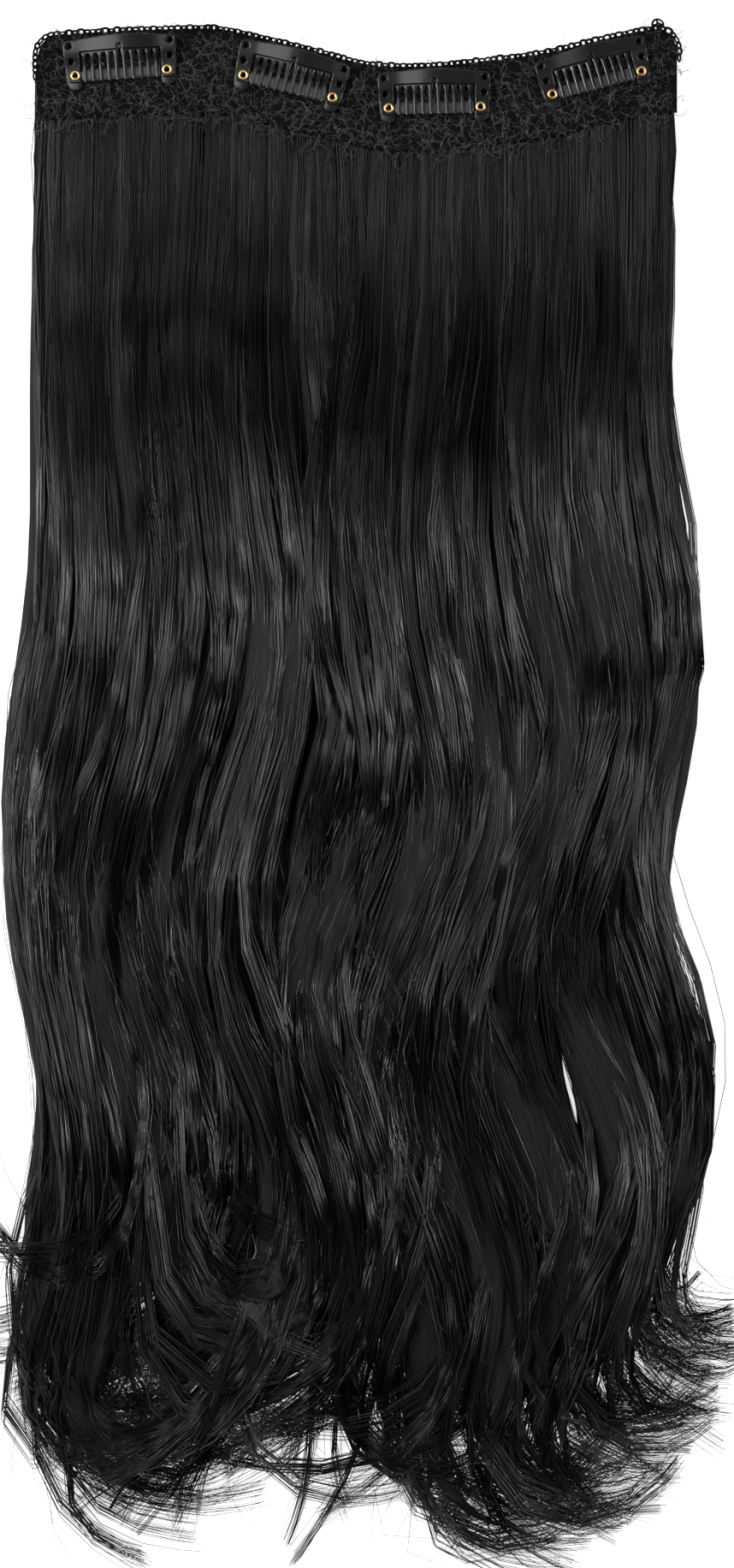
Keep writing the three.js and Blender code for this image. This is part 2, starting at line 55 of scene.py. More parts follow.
camera_data = bpy.data.cameras.new("camera")
camera_data.lens = LENS_MM
camera_data.sensor_width = SENSOR_MM
camera = bpy.data.objects.new("camera", camera_data)
bpy.context.collection.objects.link(camera)
band_low, band_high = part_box("net_band")
camera.location = (
    (band_low.x + band_high.x) / 2 + BESIDE_BAND_M,
    band_low.y - BELOW_BAND_M,
    PICTURE_TALL * PIXEL_M * LENS_MM / SENSOR_MM,
)
bpy.context.scene.camera = camera

# Surface and light: a white table that glows a little, in a dim room, under long softboxes.
# The hair's gloss bands come from the three narrow keys, the clips' sheen from the softbox over them.
TABLE_HALF_M = 4
TABLE_Z_M = -0.0001
TABLE_ROUGHNESS = 0.9
TABLE_COLOUR = (0.8, 0.8, 0.8, 1)
TABLE_GLOW = 0.74
ROOM_COLOUR = (1, 1, 1, 1)
ROOM_STRENGTH = 0.012
# name, place in metres, width and height in metres, power in watts
SOFTBOXES = [
    ("left_key", (-1.0, 0.21, 1.3), (0.08, 0.8), 14),
    ("right_key", (1.0, 0.13, 1.3), (0.08, 0.8), 8.5),
    ("root_key", (-1.0, 0.41, 1.3), (0.1, 0.8), 4),
    ("over_clips", (-0.4, 0.56, 1.5), (0.5, 0.3), 2.1),
    ("past_tips", (0.2, -0.75, 1.5), (0.9, 0.12), 1.4),
]

table_data = bpy.data.meshes.new("table")
corners = [(x * TABLE_HALF_M, y * TABLE_HALF_M, TABLE_Z_M) for x, y in ((-1, -1), (1, -1), (1, 1), (-1, 1))]
table_data.from_pydata(corners, [], [(0, 1, 2, 3)])
table = bpy.data.objects.new("table", table_data)
bpy.context.collection.objects.link(table)
table_finish = bpy.data.materials.new("table")
table_finish.use_nodes = True
table_surface = table_finish.node_tree.nodes["Principled BSDF"]
table_surface.inputs["Base Color"].default_value = TABLE_COLOUR
table_surface.inputs["Roughness"].default_value = TABLE_ROUGHNESS
table_surface.inputs["Specular IOR Level"].default_value = 0.0
table_surface.inputs["Emission Color"].default_value = (1, 1, 1, 1)
table_surface.inputs["Emission Strength"].default_value = TABLE_GLOW
table_data.materials.append(table_finish)

room = bpy.data.worlds.new("room")
room.use_nodes = True
room.node_tree.nodes["Background"].inputs["Color"].default_value = ROOM_COLOUR
room.node_tree.nodes["Background"].inputs["Strength"].default_value = ROOM_STRENGTH
bpy.context.scene.world = room
bpy.context.scene.view_settings.view_transform = "Standard"

for name, place, (wide, tall), watts in SOFTBOXES:
    light_data = bpy.data.lights.new(name, "AREA")
    light_data.shape = "RECTANGLE"
    light_data.size = wide
    light_data.size_y = tall
    light_data.energy = watts
    light = bpy.data.objects.new(name, light_data)
    bpy.context.collection.objects.link(light)
    light.location = place
    light.rotation_mode = "QUATERNION"
    light.rotation_quaternion = (-Vector(place)).to_track_quat("-Z", "Y")

# Hair body: the dense inside of the fall, flattened locks side by side on a flat root mat under the band.
# It is synthetic fibre, black and satin, and its surface is finely streaked along the locks' flow.
FALL_LENGTH_M = 0.476
ROOT_DROP_M = 0.012
MAT_THICKNESS_M = 0.0042
MAT_INSET_M = 0.0025
MAT_HEIGHT_M = 0.022
CORNER_ROUND_M = 0.006
BAND_HEIGHT_M = 0.026
EDGE_SAG_M = 0.012
# Shares of a lock's length: where it starts to swell, is full, sways fully, starts to taper and settles
SWELL_FROM, FULL_AT, SWAY_AT, TAPER_AT, SETTLE_AT = 0.09, 0.3, 0.65, 0.78, 0.84
TIP_SHARE = 0.32  # a tip's width and thickness against the lock's own
ROOT_WIDE = 0.85  # a root's width against the lock's own
ROOT_THICK = 0.4  # a root's half thickness against the mat's thickness
TIP_CLEAR_M = 0.001  # under the tips
RIPPLES = 5.3  # slight extra bends of loose strands, down the length
CROWDING = 1.35  # of the stations, towards the tip
ROUTE_FINENESS = 4  # steps walked for each step kept
BODY_THICK = 0.55  # of the locks' thickness; loose strands fill the rest
UPPER_WIDE, UNDER_WIDE = 0.92, 1.12  # of the locks' width
BODY_SLIM = 0.94  # lost towards the tips
SLIM_FROM, SLIM_TO = 0.76, 0.97  # shares of the length
BODY_SIDES, UPPER_STEPS, UNDER_STEPS = 14, 44, 30
BODY_LOWEST_M = 0.0002
MAT_LOWEST_M, MAT_SUNK_M = 0.0003, 0.0004  # of the mat's slab, over the table and under its solid's top
MAT_COLUMNS, MAT_ROWS = 60, 8
# Top edge of the band: place along it, and height as a share of its sag
EDGE = np.array([
    (-1.0, 0.8), (-0.8, 0.91), (-0.6, 0.98), (-0.42, 0.97), (-0.3, 0.75), (-0.14, 0.43), (0.04, 0.05),
    (0.16, 0.0), (0.4, 0.15), (0.6, 0.38), (0.76, 0.7), (0.92, 0.97), (1.0, 1.0),
])
LOCK_COLUMNS = ("root", "lean", "sway", "waves", "crest", "curl", "begin", "length", "wide", "thick", "level")
# root: share of the band's half length. lean, sway, curl: degrees. crest, begin: shares of the length.
# wide, thick, level: half width, half thickness and height of the middle, in millimetres.
UPPER_LOCKS = [
    (-0.94, -0.75, -13, 2.5, 0.52, 120, 0.82, 1.0, 8, 4.5, 5),
    (-0.83, -0.2, -17, 2.5, 0.53, 105, 0.82, 1.03, 10, 5.5, 8),
    (-0.67, -0.5, -20, 2.5, 0.55, 215, 0.73, 1.01, 12, 5.5, 11),
    (-0.49, -1.2, -21, 2.6, 0.58, -66, 0.82, 0.95, 12, 5.5, 8.5),
    (-0.3, -0.3, -22, 2.6, 0.56, -85, 0.82, 1.01, 12, 5.5, 11.5),
    (-0.12, 2.4, -24, 2.7, 0.53, 75, 0.84, 1.0, 11, 5.5, 9.5),
    (0.05, -2.4, 22, 2.8, 0.46, -60, 0.82, 0.96, 12, 5.5, 12),
    (0.22, -1.4, 24, 2.8, 0.45, 125, 0.8, 1.04, 12, 5.5, 9),
    (0.4, -0.6, 24, 2.8, 0.44, 115, 0.82, 1.03, 12, 5.5, 11.5),
    (0.57, 0.0, 24, 2.85, 0.43, 100, 0.84, 1.0, 12, 5.5, 8.5),
    (0.74, 0.4, 22, 2.9, 0.42, 90, 0.86, 0.97, 11, 5.5, 8),
    (0.91, 0.7, 19, 2.9, 0.41, 80, 0.88, 0.91, 9, 4.5, 5),
]
UNDER_LOCKS = [
    (-0.83, -0.5, -12, 2.5, 0.5, 60, 0.82, 0.97, 19, 3.5, 2.5),
    (-0.44, -0.5, -12, 2.6, 0.54, -40, 0.82, 0.97, 24, 3.5, 2.5),
    (-0.02, -0.6, -10, 2.7, 0.54, -60, 0.8, 0.92, 23, 3.5, 2.5),
    (0.4, 0.5, 13, 2.8, 0.45, 60, 0.84, 0.97, 24, 3.5, 2.5),
    (0.79, 0.9, 15, 2.9, 0.42, 60, 0.86, 0.92, 19, 3.5, 2.5),
]

BAND_HALF_M = (band_high.x - band_low.x) / 2
BAND_MIDDLE_M = (band_high.x + band_low.x) / 2
EDGE_ZERO_M = band_low.y + BAND_HEIGHT_M


def edge_place(along, depth=0.0):
    """x and y of places along the band, at a depth below its top edge."""
    along = np.asarray(along, float)
    knots, heights = EDGE.T
    slopes = np.gradient(heights, knots)
    i = np.clip(np.searchsorted(knots, along) - 1, 0, len(knots) - 2)
    gap = knots[i + 1] - knots[i]
    t = (along - knots[i]) / gap
    height = (
        (2 * t**3 - 3 * t**2 + 1) * heights[i]
        + (t**3 - 2 * t**2 + t) * gap * slopes[i]
        + (3 * t**2 - 2 * t**3) * heights[i + 1]
        + (t**3 - t**2) * gap * slopes[i + 1]
    )
    x = BAND_MIDDLE_M + along * BAND_HALF_M
    return np.stack([x, EDGE_ZERO_M + height * EDGE_SAG_M - depth], axis=-1)


def smooth(value, low, high):
    """From 0 at low to 1 at high, smoothly."""
    t = np.clip((value - low) / (high - low), 0, 1)
    return t * t * (3 - 2 * t)


def shares(steps):
    """Stations down a lock from 0 to 1, closer together at the tip."""
    return 1 - (1 - np.linspace(0, 1, steps + 1)) ** CROWDING


def routes(lock, steps):
    """Middle lines of locks or strands, walked from the roots with a swaying heading that ends in a curl."""
    share = shares(steps * ROUTE_FINENESS)
    middle = (share[1:] + share[:-1]) / 2
    column = {name: np.asarray(values, float)[:, None] for name, values in lock.items()}
    turns = 2 * np.pi * column["waves"] * (middle - column["crest"])
    swing = column["sway"] * smooth(middle, 0, SWAY_AT) * np.sin(turns)
    bend = column["lean"] - swing + column["curl"] * smooth(middle, column["begin"], 1)
    if "ripple" in column:
        bend = bend + column["ripple"] * np.sin(2 * np.pi * RIPPLES * middle + column["phase"])
    heading = np.radians(bend)
    stride = np.diff(share) * column["length"] * FALL_LENGTH_M
    walked = np.cumsum(np.stack([stride * np.sin(heading), -stride * np.cos(heading)], axis=-1), axis=1)
    start = edge_place(column["root"], ROOT_DROP_M)
    return np.concatenate([start, start + walked], axis=1)[:, ::ROUTE_FINENESS]


def sections(lock, steps):
    """Half width, half thickness and height of locks at their stations, in metres."""
    share = shares(steps)
    column = {name: np.asarray(values, float)[:, None] for name, values in lock.items()}
    full = smooth(share, SWELL_FROM, FULL_AT)
    taper = 1 - (1 - TIP_SHARE) * smooth(share, TAPER_AT, 1)
    half_wide = column["wide"] * 0.001 * (ROOT_WIDE + (1 - ROOT_WIDE) * full) * taper
    root_thick = MAT_THICKNESS_M * ROOT_THICK
    half_thick = (root_thick + (column["thick"] * 0.001 - root_thick) * full) * taper
    level = MAT_THICKNESS_M / 2 + (column["level"] * 0.001 - MAT_THICKNESS_M / 2) * full
    settled = np.minimum(level, half_thick + TIP_CLEAR_M)
    height = level + (settled - level) * smooth(share, SETTLE_AT, 1)
    return half_wide, half_thick, height


def across(route):
    """Unit vectors square to each route's direction, in the plane of the table."""
    ahead = np.gradient(route, axis=1)
    ahead /= np.linalg.norm(ahead, axis=-1, keepdims=True)
    return np.stack([-ahead[..., 1], ahead[..., 0]], axis=-1)


def columns_of(table):
    return dict(zip(LOCK_COLUMNS, np.array(table, float).T))


def make_object(name, mesh, finish):
    piece = bpy.data.objects.new(name, mesh)
    bpy.context.collection.objects.link(piece)
    if finish is not None:
        mesh.materials.append(finish)
    return piece


def body_mesh(table, sides, steps, wide_share):
    """Vertices, faces and flow coordinates of a table's locks as closed, flattened tubes."""
    lock = columns_of(table)
    route = routes(lock, steps)
    side = across(route)
    half_wide, half_thick, height = sections(lock, steps)
    angle = 2 * np.pi * np.arange(sides) / sides
    slim = (1 - BODY_SLIM * smooth(shares(steps), SLIM_FROM, SLIM_TO))[:, None]
    wide = np.cos(angle) * half_wide[..., None] * wide_share * slim
    thick = np.sin(angle) * half_thick[..., None] * BODY_THICK * slim
    xy = route[:, :, None, :] + side[:, :, None, :] * wide[..., None]
    z = np.maximum(height[..., None] + thick, BODY_LOWEST_M)
    points = np.concatenate([xy, z[..., None]], axis=-1)
    run = shares(steps)[None, :, None] * lock["length"][:, None, None] * FALL_LENGTH_M
    flow = np.stack([wide + lock["root"][:, None, None], thick, np.broadcast_to(run, wide.shape)], axis=-1)
    faces = []
    for first in range(len(route)):
        base = first * (steps + 1) * sides
        for step in range(steps):
            low = base + step * sides
            for j in range(sides):
                k = (j + 1) % sides
                faces.append((low + k, low + j, low + sides + j, low + sides + k))
        faces.append([base + j for j in range(sides)])
        faces.append([base + steps * sides + j for j in reversed(range(sides))])
    return points.reshape(-1, 3), faces, flow.reshape(-1, 3)


def strip_rows(upper, lower, inset, columns, rows):
    """Grid of x and y that follows the band's top edge, with rounded upper corners."""
    reach = 1 - inset / BAND_HALF_M
    along = np.linspace(-reach, reach, columns)
    depth_in = (reach - np.abs(along)) * BAND_HALF_M
    corner_in = np.maximum(CORNER_ROUND_M - depth_in, 0)
    cut = CORNER_ROUND_M - np.sqrt(np.maximum(CORNER_ROUND_M**2 - corner_in**2, 0))
    share = np.linspace(0, 1, rows)[:, None]
    depth = (upper + cut)[None, :] * (1 - share) + lower * share
    return edge_place(np.broadcast_to(along, depth.shape), depth)


def grid_faces(rows, columns):
    """Faces between the rows and columns of a grid's corners."""
    firsts = [r * columns + c for r in range(rows - 1) for c in range(columns - 1)]
    return [(first, first + columns, first + columns + 1, first + 1) for first in firsts]


def slab(grid, low, high):
    """Closed slab over a grid of x and y, between two heights or arrays of heights."""
    rows, columns = grid.shape[:2]
    flat = grid.reshape(-1, 2)
    top = np.column_stack([flat, np.broadcast_to(high, rows * columns)])
    bottom = np.column_stack([flat, np.broadcast_to(low, rows * columns)])
    count = rows * columns
    faces = []
    for face in grid_faces(rows, columns):
        a, b, c, d = [count + corner for corner in face]
        faces.append(face)
        faces.append((a, d, c, b))
    rim = list(range(columns))
    rim += [r * columns + columns - 1 for r in range(1, rows)]
    rim += [(rows - 1) * columns + c for c in reversed(range(columns - 1))]
    rim += [r * columns for r in reversed(range(1, rows - 1))]
    for a, b in zip(rim, rim[1:] + rim[:1]):
        faces.append((a, b, count + b, count + a))
    return np.vstack([top, bottom]), faces


class Wire:
    """A value that changes over a surface. Its sums and products add Math nodes to its finish."""

    def __init__(self, finish, socket):
        self.finish = finish
        self.socket = socket

    def math(self, operation, first, second):
        return self.finish.node("ShaderNodeMath", {"operation": operation}, {0: first, 1: second})

    def __add__(self, other):
        return self.math("ADD", self, other)

    def __mul__(self, other):
        return self.math("MULTIPLY", self, other)

    __radd__ = __add__
    __rmul__ = __mul__


OBJECT_OUTPUT, VECTOR_OUTPUT, FACTOR_OUTPUT = 3, 1, 2  # of Texture Coordinate and of Attribute nodes


class Finish:
    """A material with plain settings on its shader, and patterns that are written as expressions."""

    def __init__(self, name, colour, roughness, **settings):
        self.material = bpy.data.materials.new(name)
        self.material.use_nodes = True
        self.tree = self.material.node_tree
        self.surface = self.tree.nodes["Principled BSDF"]
        self.surface.inputs["Base Color"].default_value = (*colour, 1)
        self.surface.inputs["Roughness"].default_value = roughness
        for name, value in settings.items():
            self.surface.inputs[name.replace("_", " ")].default_value = value

    def node(self, kind, settings, sockets, output=0):
        new = self.tree.nodes.new(kind)
        for name, value in settings.items():
            if name == "stops":
                ramp = new.color_ramp.elements
                ramp[0].position, ramp[0].color = value[0]
                ramp[1].position, ramp[1].color = value[-1]
                for place, colour in value[1:-1]:
                    ramp.new(place).color = colour
            else:
                setattr(new, name, value)
        for name, value in sockets.items():
            if isinstance(value, Wire):
                self.tree.links.new(value.socket, new.inputs[name])
            else:
                new.inputs[name].default_value = value
        return Wire(self, new.outputs[output])

    def ramp(self, factor, *stops):
        """A colour or grey that follows a factor through stops of place and value."""
        greys = [(place, (v, v, v, 1) if isinstance(v, (int, float)) else (*v, 1)) for place, v in stops]
        return self.node("ShaderNodeValToRGB", {"stops": greys}, {"Fac": factor})

    def place(self):
        """Where a spot is on its object."""
        return self.node("ShaderNodeTexCoord", {}, {}, OBJECT_OUTPUT)

    def noise(self, vector, scale, detail=3.0, roughness=0.55):
        sockets = {"Vector": vector, "Scale": scale, "Detail": detail, "Roughness": roughness}
        return self.node("ShaderNodeTexNoise", {}, sockets)

    def feed(self, name, wire):
        self.tree.links.new(wire.socket, self.surface.inputs[name])

    def bump(self, height, distance, strength=1.0):
        sockets = {"Height": height, "Distance": distance, "Strength": strength}
        self.feed("Normal", self.node("ShaderNodeBump", {}, sockets))


hair_body_finish = Finish("hair_body", (0.004, 0.004, 0.004), 0.5, Specular_IOR_Level=0.3)
flow = hair_body_finish.node("ShaderNodeAttribute", {"attribute_name": "flow"}, {}, VECTOR_OUTPUT)


def stretched_flow(stretch):
    return hair_body_finish.node("ShaderNodeVectorMath", {"operation": "MULTIPLY"}, {0: flow, 1: stretch})


fine_streaks = hair_body_finish.noise(stretched_flow((2600.0, 2600.0, 14.0)), 1.0, 4.0, 0.7)
broad_streaks = hair_body_finish.noise(stretched_flow((420.0, 420.0, 7.0)), 1.0, 2.0, 0.5)
streaks = fine_streaks * 0.6 + broad_streaks * 0.6
hair_body_finish.feed("Base Color", hair_body_finish.ramp(streaks, (0.35, 0.001), (0.8, 0.008)))
hair_body_finish.feed("Roughness", 0.34 + broad_streaks * 0.2)
hair_body_finish.bump(streaks, 0.0009, 0.9)

all_points, all_faces, all_flow = [], [], []
offset = 0
mat_grid = strip_rows(MAT_INSET_M, MAT_HEIGHT_M, MAT_INSET_M, MAT_COLUMNS, MAT_ROWS)
mat_points, mat_faces = slab(mat_grid, MAT_LOWEST_M, MAT_THICKNESS_M - MAT_SUNK_M)
mat_flow = mat_points[:, [0, 2, 1]]
for points, faces, piece_flow in (
    body_mesh(UPPER_LOCKS, BODY_SIDES, UPPER_STEPS, UPPER_WIDE),
    body_mesh(UNDER_LOCKS, BODY_SIDES, UNDER_STEPS, UNDER_WIDE),
    (mat_points, mat_faces, mat_flow),
):
    all_points.append(points)
    all_flow.append(piece_flow)
    all_faces += [[offset + corner for corner in face] for face in faces]
    offset += len(points)
body_data = bpy.data.meshes.new("hair_body")
body_data.from_pydata(np.vstack(all_points).tolist(), [], all_faces)
flow_data = body_data.attributes.new("flow", "FLOAT_VECTOR", "POINT").data
flow_data.foreach_set("vector", np.vstack(all_flow).ravel())
body_data.shade_smooth()
hair_body = make_object("hair_body", body_data, hair_body_finish.material)
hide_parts("hair_fall")
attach(hair_body, "weft")

# Loose strands: the fibres that show, of the same black synthetic hair and sewn in at the band. They lie in
# wisps along each lock, and a few stray. Each strand is a thin three-sided tube that narrows to its end.
STRAND_STEPS = 23
STRAND_SIDES = 3
WISPS_PER_LOCK, STRANDS_PER_WISP = 14, 22
UNDER_WISPS, UNDER_STRANDS = 14, 11
STRAYS_PER_LOCK, STRAY_LOOSE = 20, 1.7
UPPER_LOWEST, UNDER_LOWEST, STRAY_LOWEST = 0.5, -0.9, 0.9  # layers, as shares of a lock's half thickness
HIGHEST = 1.08
STRAND_RADIUS_M = 0.00019
STRAY_RADIUS_M = 0.00011
LIFT_M = 0.0036  # how far the waves lift the strands
GATHERED = 0.35  # of a wisp's breadth, lost towards its tip
TURNED_BACK, BACK_CURL = 0.14, -0.8  # share of the inner wisps that curl against their lock, and how far
OUTER_LOCKS = 0.8  # roots past this share of the band's half length
REACH_M, DROP_M = 0.117, 0.247  # strands that stray past these from the middle are drawn in
DRAWN_IN_M = 0.013
LOWEST_M = 0.0004
UNDER_BAND_M = 0.0039
UNDER_BAND_TO = 0.6  # of where the locks start to swell
WIDEST_SIGMAS = 2.2
LOOSENED = 0.6  # of a wisp's breadth, won again at its tip
POINTED = 0.4  # a strand's radius at its end
THINNEST, THICKEST = 0.75, 1.2  # strands against the common radius
LONGEST = 1.005  # strand against its lock
WISPS_TO, STRANDS_TO, ROUNDED_TO = 0.97, 1.02, 0.97  # shares of a lock's half width
# Where these begin and end, as shares of the length
GATHER_FROM, GATHER_TO = 0.3, 0.95
LIFT_FROM, LIFT_TO = 0.1, 0.4
LOOSEN_FROM, POINT_FROM = 0.72, 0.9
STRAND_SEED = 11
# How wisps vary from their lock, and strands from their wisp, as standard deviations
LEAN_VARIES = 0.5, 0.05  # degrees
SWAY_VARIES = 0.13, 0.012
CREST_VARIES = 0.012, 0.001
CURL_VARIES = 0.25, 0.012
CURL_TURNS = 16, 1.0  # degrees
BEGIN_VARIES = 0.03, 0.001
LENGTH_VARIES = 0.022, 0.006
RIPPLE_VARIES = 3.2, 0.25  # degrees
LIFT_PHASE_VARIES = 0.45, 0.1
LIFT_VARIES = 0.25, 0.0
TONE_VARIES = 0.16, 0.2
APART, LAYER_VARIES, HEIGHT_VARIES_M = 0.085, 0.07, 0.0002  # of strands in one wisp
rng = np.random.default_rng(STRAND_SEED)


def wisp_strands(table, wisps, strands, lowest, loose=1.0):
    """Points, taper and tone of strands that lie in wisps along a table's locks."""
    lock = columns_of(table)
    count = len(table) * wisps * strands
    of_lock = np.repeat(np.arange(len(table)), wisps * strands)
    of_wisp = np.repeat(np.arange(len(table) * wisps), strands)
    total_wisps = len(table) * wisps

    def varied(wisp_sigma, strand_sigma):
        """A normal value for each wisp, with a smaller one for each of its strands."""
        value = rng.normal(0, wisp_sigma, total_wisps)[of_wisp] + rng.normal(0, strand_sigma, count)
        return loose * np.clip(value, -WIDEST_SIGMAS * wisp_sigma, WIDEST_SIGMAS * wisp_sigma)

    strand = {name: values[of_lock] for name, values in lock.items()}
    strand["lean"] = strand["lean"] + varied(*LEAN_VARIES)
    strand["sway"] = strand["sway"] * (1 + varied(*SWAY_VARIES))
    strand["crest"] = strand["crest"] + varied(*CREST_VARIES)
    against = rng.random(total_wisps)[of_wisp] < TURNED_BACK
    back = np.where(against & (np.abs(strand["root"]) < OUTER_LOCKS), BACK_CURL, 1.0)
    strand["curl"] = back * strand["curl"] * (1 + varied(*CURL_VARIES)) + varied(*CURL_TURNS)
    strand["begin"] = strand["begin"] + varied(*BEGIN_VARIES)
    strand["length"] = strand["length"] * (LONGEST - np.abs(varied(*LENGTH_VARIES)))
    strand["ripple"] = varied(*RIPPLE_VARIES)
    strand["phase"] = rng.uniform(0, 2 * np.pi, total_wisps)[of_wisp]
    place = rng.uniform(-WISPS_TO, WISPS_TO, total_wisps)
    layer = rng.uniform(lowest, HIGHEST, total_wisps)
    apart = rng.normal(0, APART, count)
    u = np.clip(place[of_wisp] + apart, -STRANDS_TO, STRANDS_TO)
    rounded_off = np.sqrt(1 - np.clip(np.abs(u), 0, ROUNDED_TO) ** 2)
    w = (layer[of_wisp] + rng.normal(0, LAYER_VARIES, count)) * rounded_off
    route = routes(strand, STRAND_STEPS)
    side = across(route)
    half_wide, half_thick, height = sections(strand, STRAND_STEPS)
    share = shares(STRAND_STEPS)
    loosened = 1 + LOOSENED * smooth(share, LOOSEN_FROM, 1)
    gathered = apart[:, None] * GATHERED * smooth(share, GATHER_FROM, GATHER_TO)
    xy = route + side * ((u[:, None] - gathered) * half_wide * loosened)[..., None]
    beyond = np.maximum(np.abs(xy) - [REACH_M, DROP_M], 0)
    xy = xy - np.sign(xy) * (beyond - DRAWN_IN_M * np.tanh(beyond / DRAWN_IN_M))
    phase = rng.uniform(0, 2 * np.pi, len(table))[of_lock] + varied(*LIFT_PHASE_VARIES)
    turns = 2 * np.pi * strand["waves"][:, None] * (share - strand["crest"][:, None]) + phase[:, None]
    lift = LIFT_M * (1 + varied(*LIFT_VARIES))[:, None] * smooth(share, LIFT_FROM, LIFT_TO)
    z = height + w[:, None] * half_thick + lift * np.sin(turns)
    z += rng.normal(0, HEIGHT_VARIES_M, count)[:, None]
    z = np.maximum(z, LOWEST_M)
    z = np.where(share < SWELL_FROM * UNDER_BAND_TO, np.minimum(z, UNDER_BAND_M), z)
    taper = np.broadcast_to(1 - (1 - POINTED) * smooth(share, POINT_FROM, 1), z.shape)
    taper = taper * rng.uniform(THINNEST, THICKEST, count)[:, None]
    wisp_tone, strand_tone = TONE_VARIES
    tone = 0.5 + rng.normal(0, wisp_tone, total_wisps)[of_wisp] + rng.normal(0, strand_tone, count)
    return np.concatenate([xy, z[..., None]], axis=-1), taper, np.clip(tone, 0, 1)


def node_tree(name, inputs):
    """A Geometry Nodes tree with named inputs, and those inputs."""
    tree = bpy.data.node_groups.new(name, "GeometryNodeTree")
    tree.interface.new_socket("Geometry", in_out="INPUT", socket_type="NodeSocketGeometry")
    for title, kind in inputs + [("Finish", "Material")]:
        tree.interface.new_socket(title, in_out="INPUT", socket_type="NodeSocket" + kind)
    tree.interface.new_socket("Geometry", in_out="OUTPUT", socket_type="NodeSocketGeometry")
    return tree, tree.nodes.new("NodeGroupInput").outputs


def join(tree, kind, settings=None, **sockets):
    """Adds a node to a tree, links or fills its sockets by name, and hands on its first output."""
    new = tree.nodes.new(kind)
    for title, value in (settings or {}).items():
        setattr(new, title, value)
    for title, value in sockets.items():
        target = new.inputs[int(title[1:])] if title[0] == "_" else new.inputs[title.replace("_", " ")]
        if isinstance(value, bpy.types.NodeSocket):
            tree.links.new(value, target)
        else:
            target.default_value = value
    return new.outputs[0]


def math_node(tree, operation, *values):
    """The result of a Math node on two or three values."""
    sockets = {f"_{i}": value for i, value in enumerate(values)}
    return join(tree, "ShaderNodeMath", {"operation": operation}, **sockets)


def vector_node(tree, operation, first, **sockets):
    return join(tree, "ShaderNodeVectorMath", {"operation": operation}, _0=first, **sockets)


def circle(tree, sides, radius):
    return join(tree, "GeometryNodeCurvePrimitiveCircle", {"mode": "RADIUS"}, Resolution=sides, Radius=radius)


def end_tree(tree, geometry, given):
    """Makes instances real, gives them their finish and ends the tree."""
    real = join(tree, "GeometryNodeRealizeInstances", Geometry=geometry)
    dressed = join(tree, "GeometryNodeSetMaterial", Geometry=real, Material=given["Finish"])
    tree.links.new(dressed, tree.nodes.new("NodeGroupOutput").inputs["Geometry"])


strand_tree, given = node_tree("strands_along_lines", [("Radius", "Float"), ("Sides", "Int")])
lines = join(strand_tree, "GeometryNodeMeshToCurve", Mesh=given["Geometry"])
taper_field = join(strand_tree, "GeometryNodeInputNamedAttribute", {"data_type": "FLOAT"}, Name="taper")
tubes = join(
    strand_tree,
    "GeometryNodeCurveToMesh",
    Curve=lines,
    Profile_Curve=circle(strand_tree, given["Sides"], 1.0),
    Scale=math_node(strand_tree, "MULTIPLY", taper_field, given["Radius"]),
    Fill_Caps=True,
)
rounded = join(strand_tree, "GeometryNodeSetShadeSmooth", Geometry=tubes, Shade_Smooth=True)
end_tree(strand_tree, rounded, given)


def grown(name, base, tree, values):
    """The result of a Geometry Nodes tree on a mesh, as a plain object with no modifier."""
    seed = bpy.data.objects.new(name + "_seed", base)
    bpy.context.collection.objects.link(seed)
    modifier = seed.modifiers.new("tree", "NODES")
    modifier.node_group = tree
    identifiers = {item.name: item.identifier for item in tree.interface.items_tree if item.in_out == "INPUT"}
    for title, value in values.items():
        modifier[identifiers[title]] = value
    shown = seed.evaluated_get(bpy.context.evaluated_depsgraph_get())
    mesh = bpy.data.meshes.new_from_object(shown)
    bpy.data.objects.remove(seed)
    mesh.name = name
    return make_object(name, mesh, None)


def line_mesh(name, points, taper, tone):
    """Polylines of equal length as a mesh of edges, with their taper and tone as attributes."""
    lines, stops = points.shape[:2]
    starts = (np.arange(lines)[:, None] * stops + np.arange(stops - 1)[None, :]).ravel()
    mesh = bpy.data.meshes.new(name)
    mesh.vertices.add(lines * stops)
    mesh.vertices.foreach_set("co", points.reshape(-1))
    mesh.edges.add(len(starts))
    mesh.edges.foreach_set("vertices", np.column_stack([starts, starts + 1]).ravel())
    for title, values in (("taper", np.ascontiguousarray(taper).ravel()), ("tone", np.repeat(tone, stops))):
        mesh.attributes.new(title, "FLOAT", "POINT").data.foreach_set("value", values)
    mesh.update()
    return mesh


strand_finish = Finish("hair_strands", (0.006, 0.006, 0.0065), 0.34, IOR=1.5)
tone = strand_finish.node("ShaderNodeAttribute", {"attribute_name": "tone"}, {}, FACTOR_OUTPUT)
tone_colours = strand_finish.ramp(tone, (0.0, 0.001), (0.6, 0.003), (0.85, 0.014), (1.0, 0.04))
strand_finish.feed("Base Color", tone_colours)
strand_finish.feed("Roughness", 0.12 + tone * 0.18)


def hang_strands(name, strands, radius):
    points, taper, tone = strands
    values = {"Radius": radius, "Sides": STRAND_SIDES, "Finish": strand_finish.material}
    piece = grown(name, line_mesh(name, points, taper, tone), strand_tree, values)
    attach(piece, "weft")


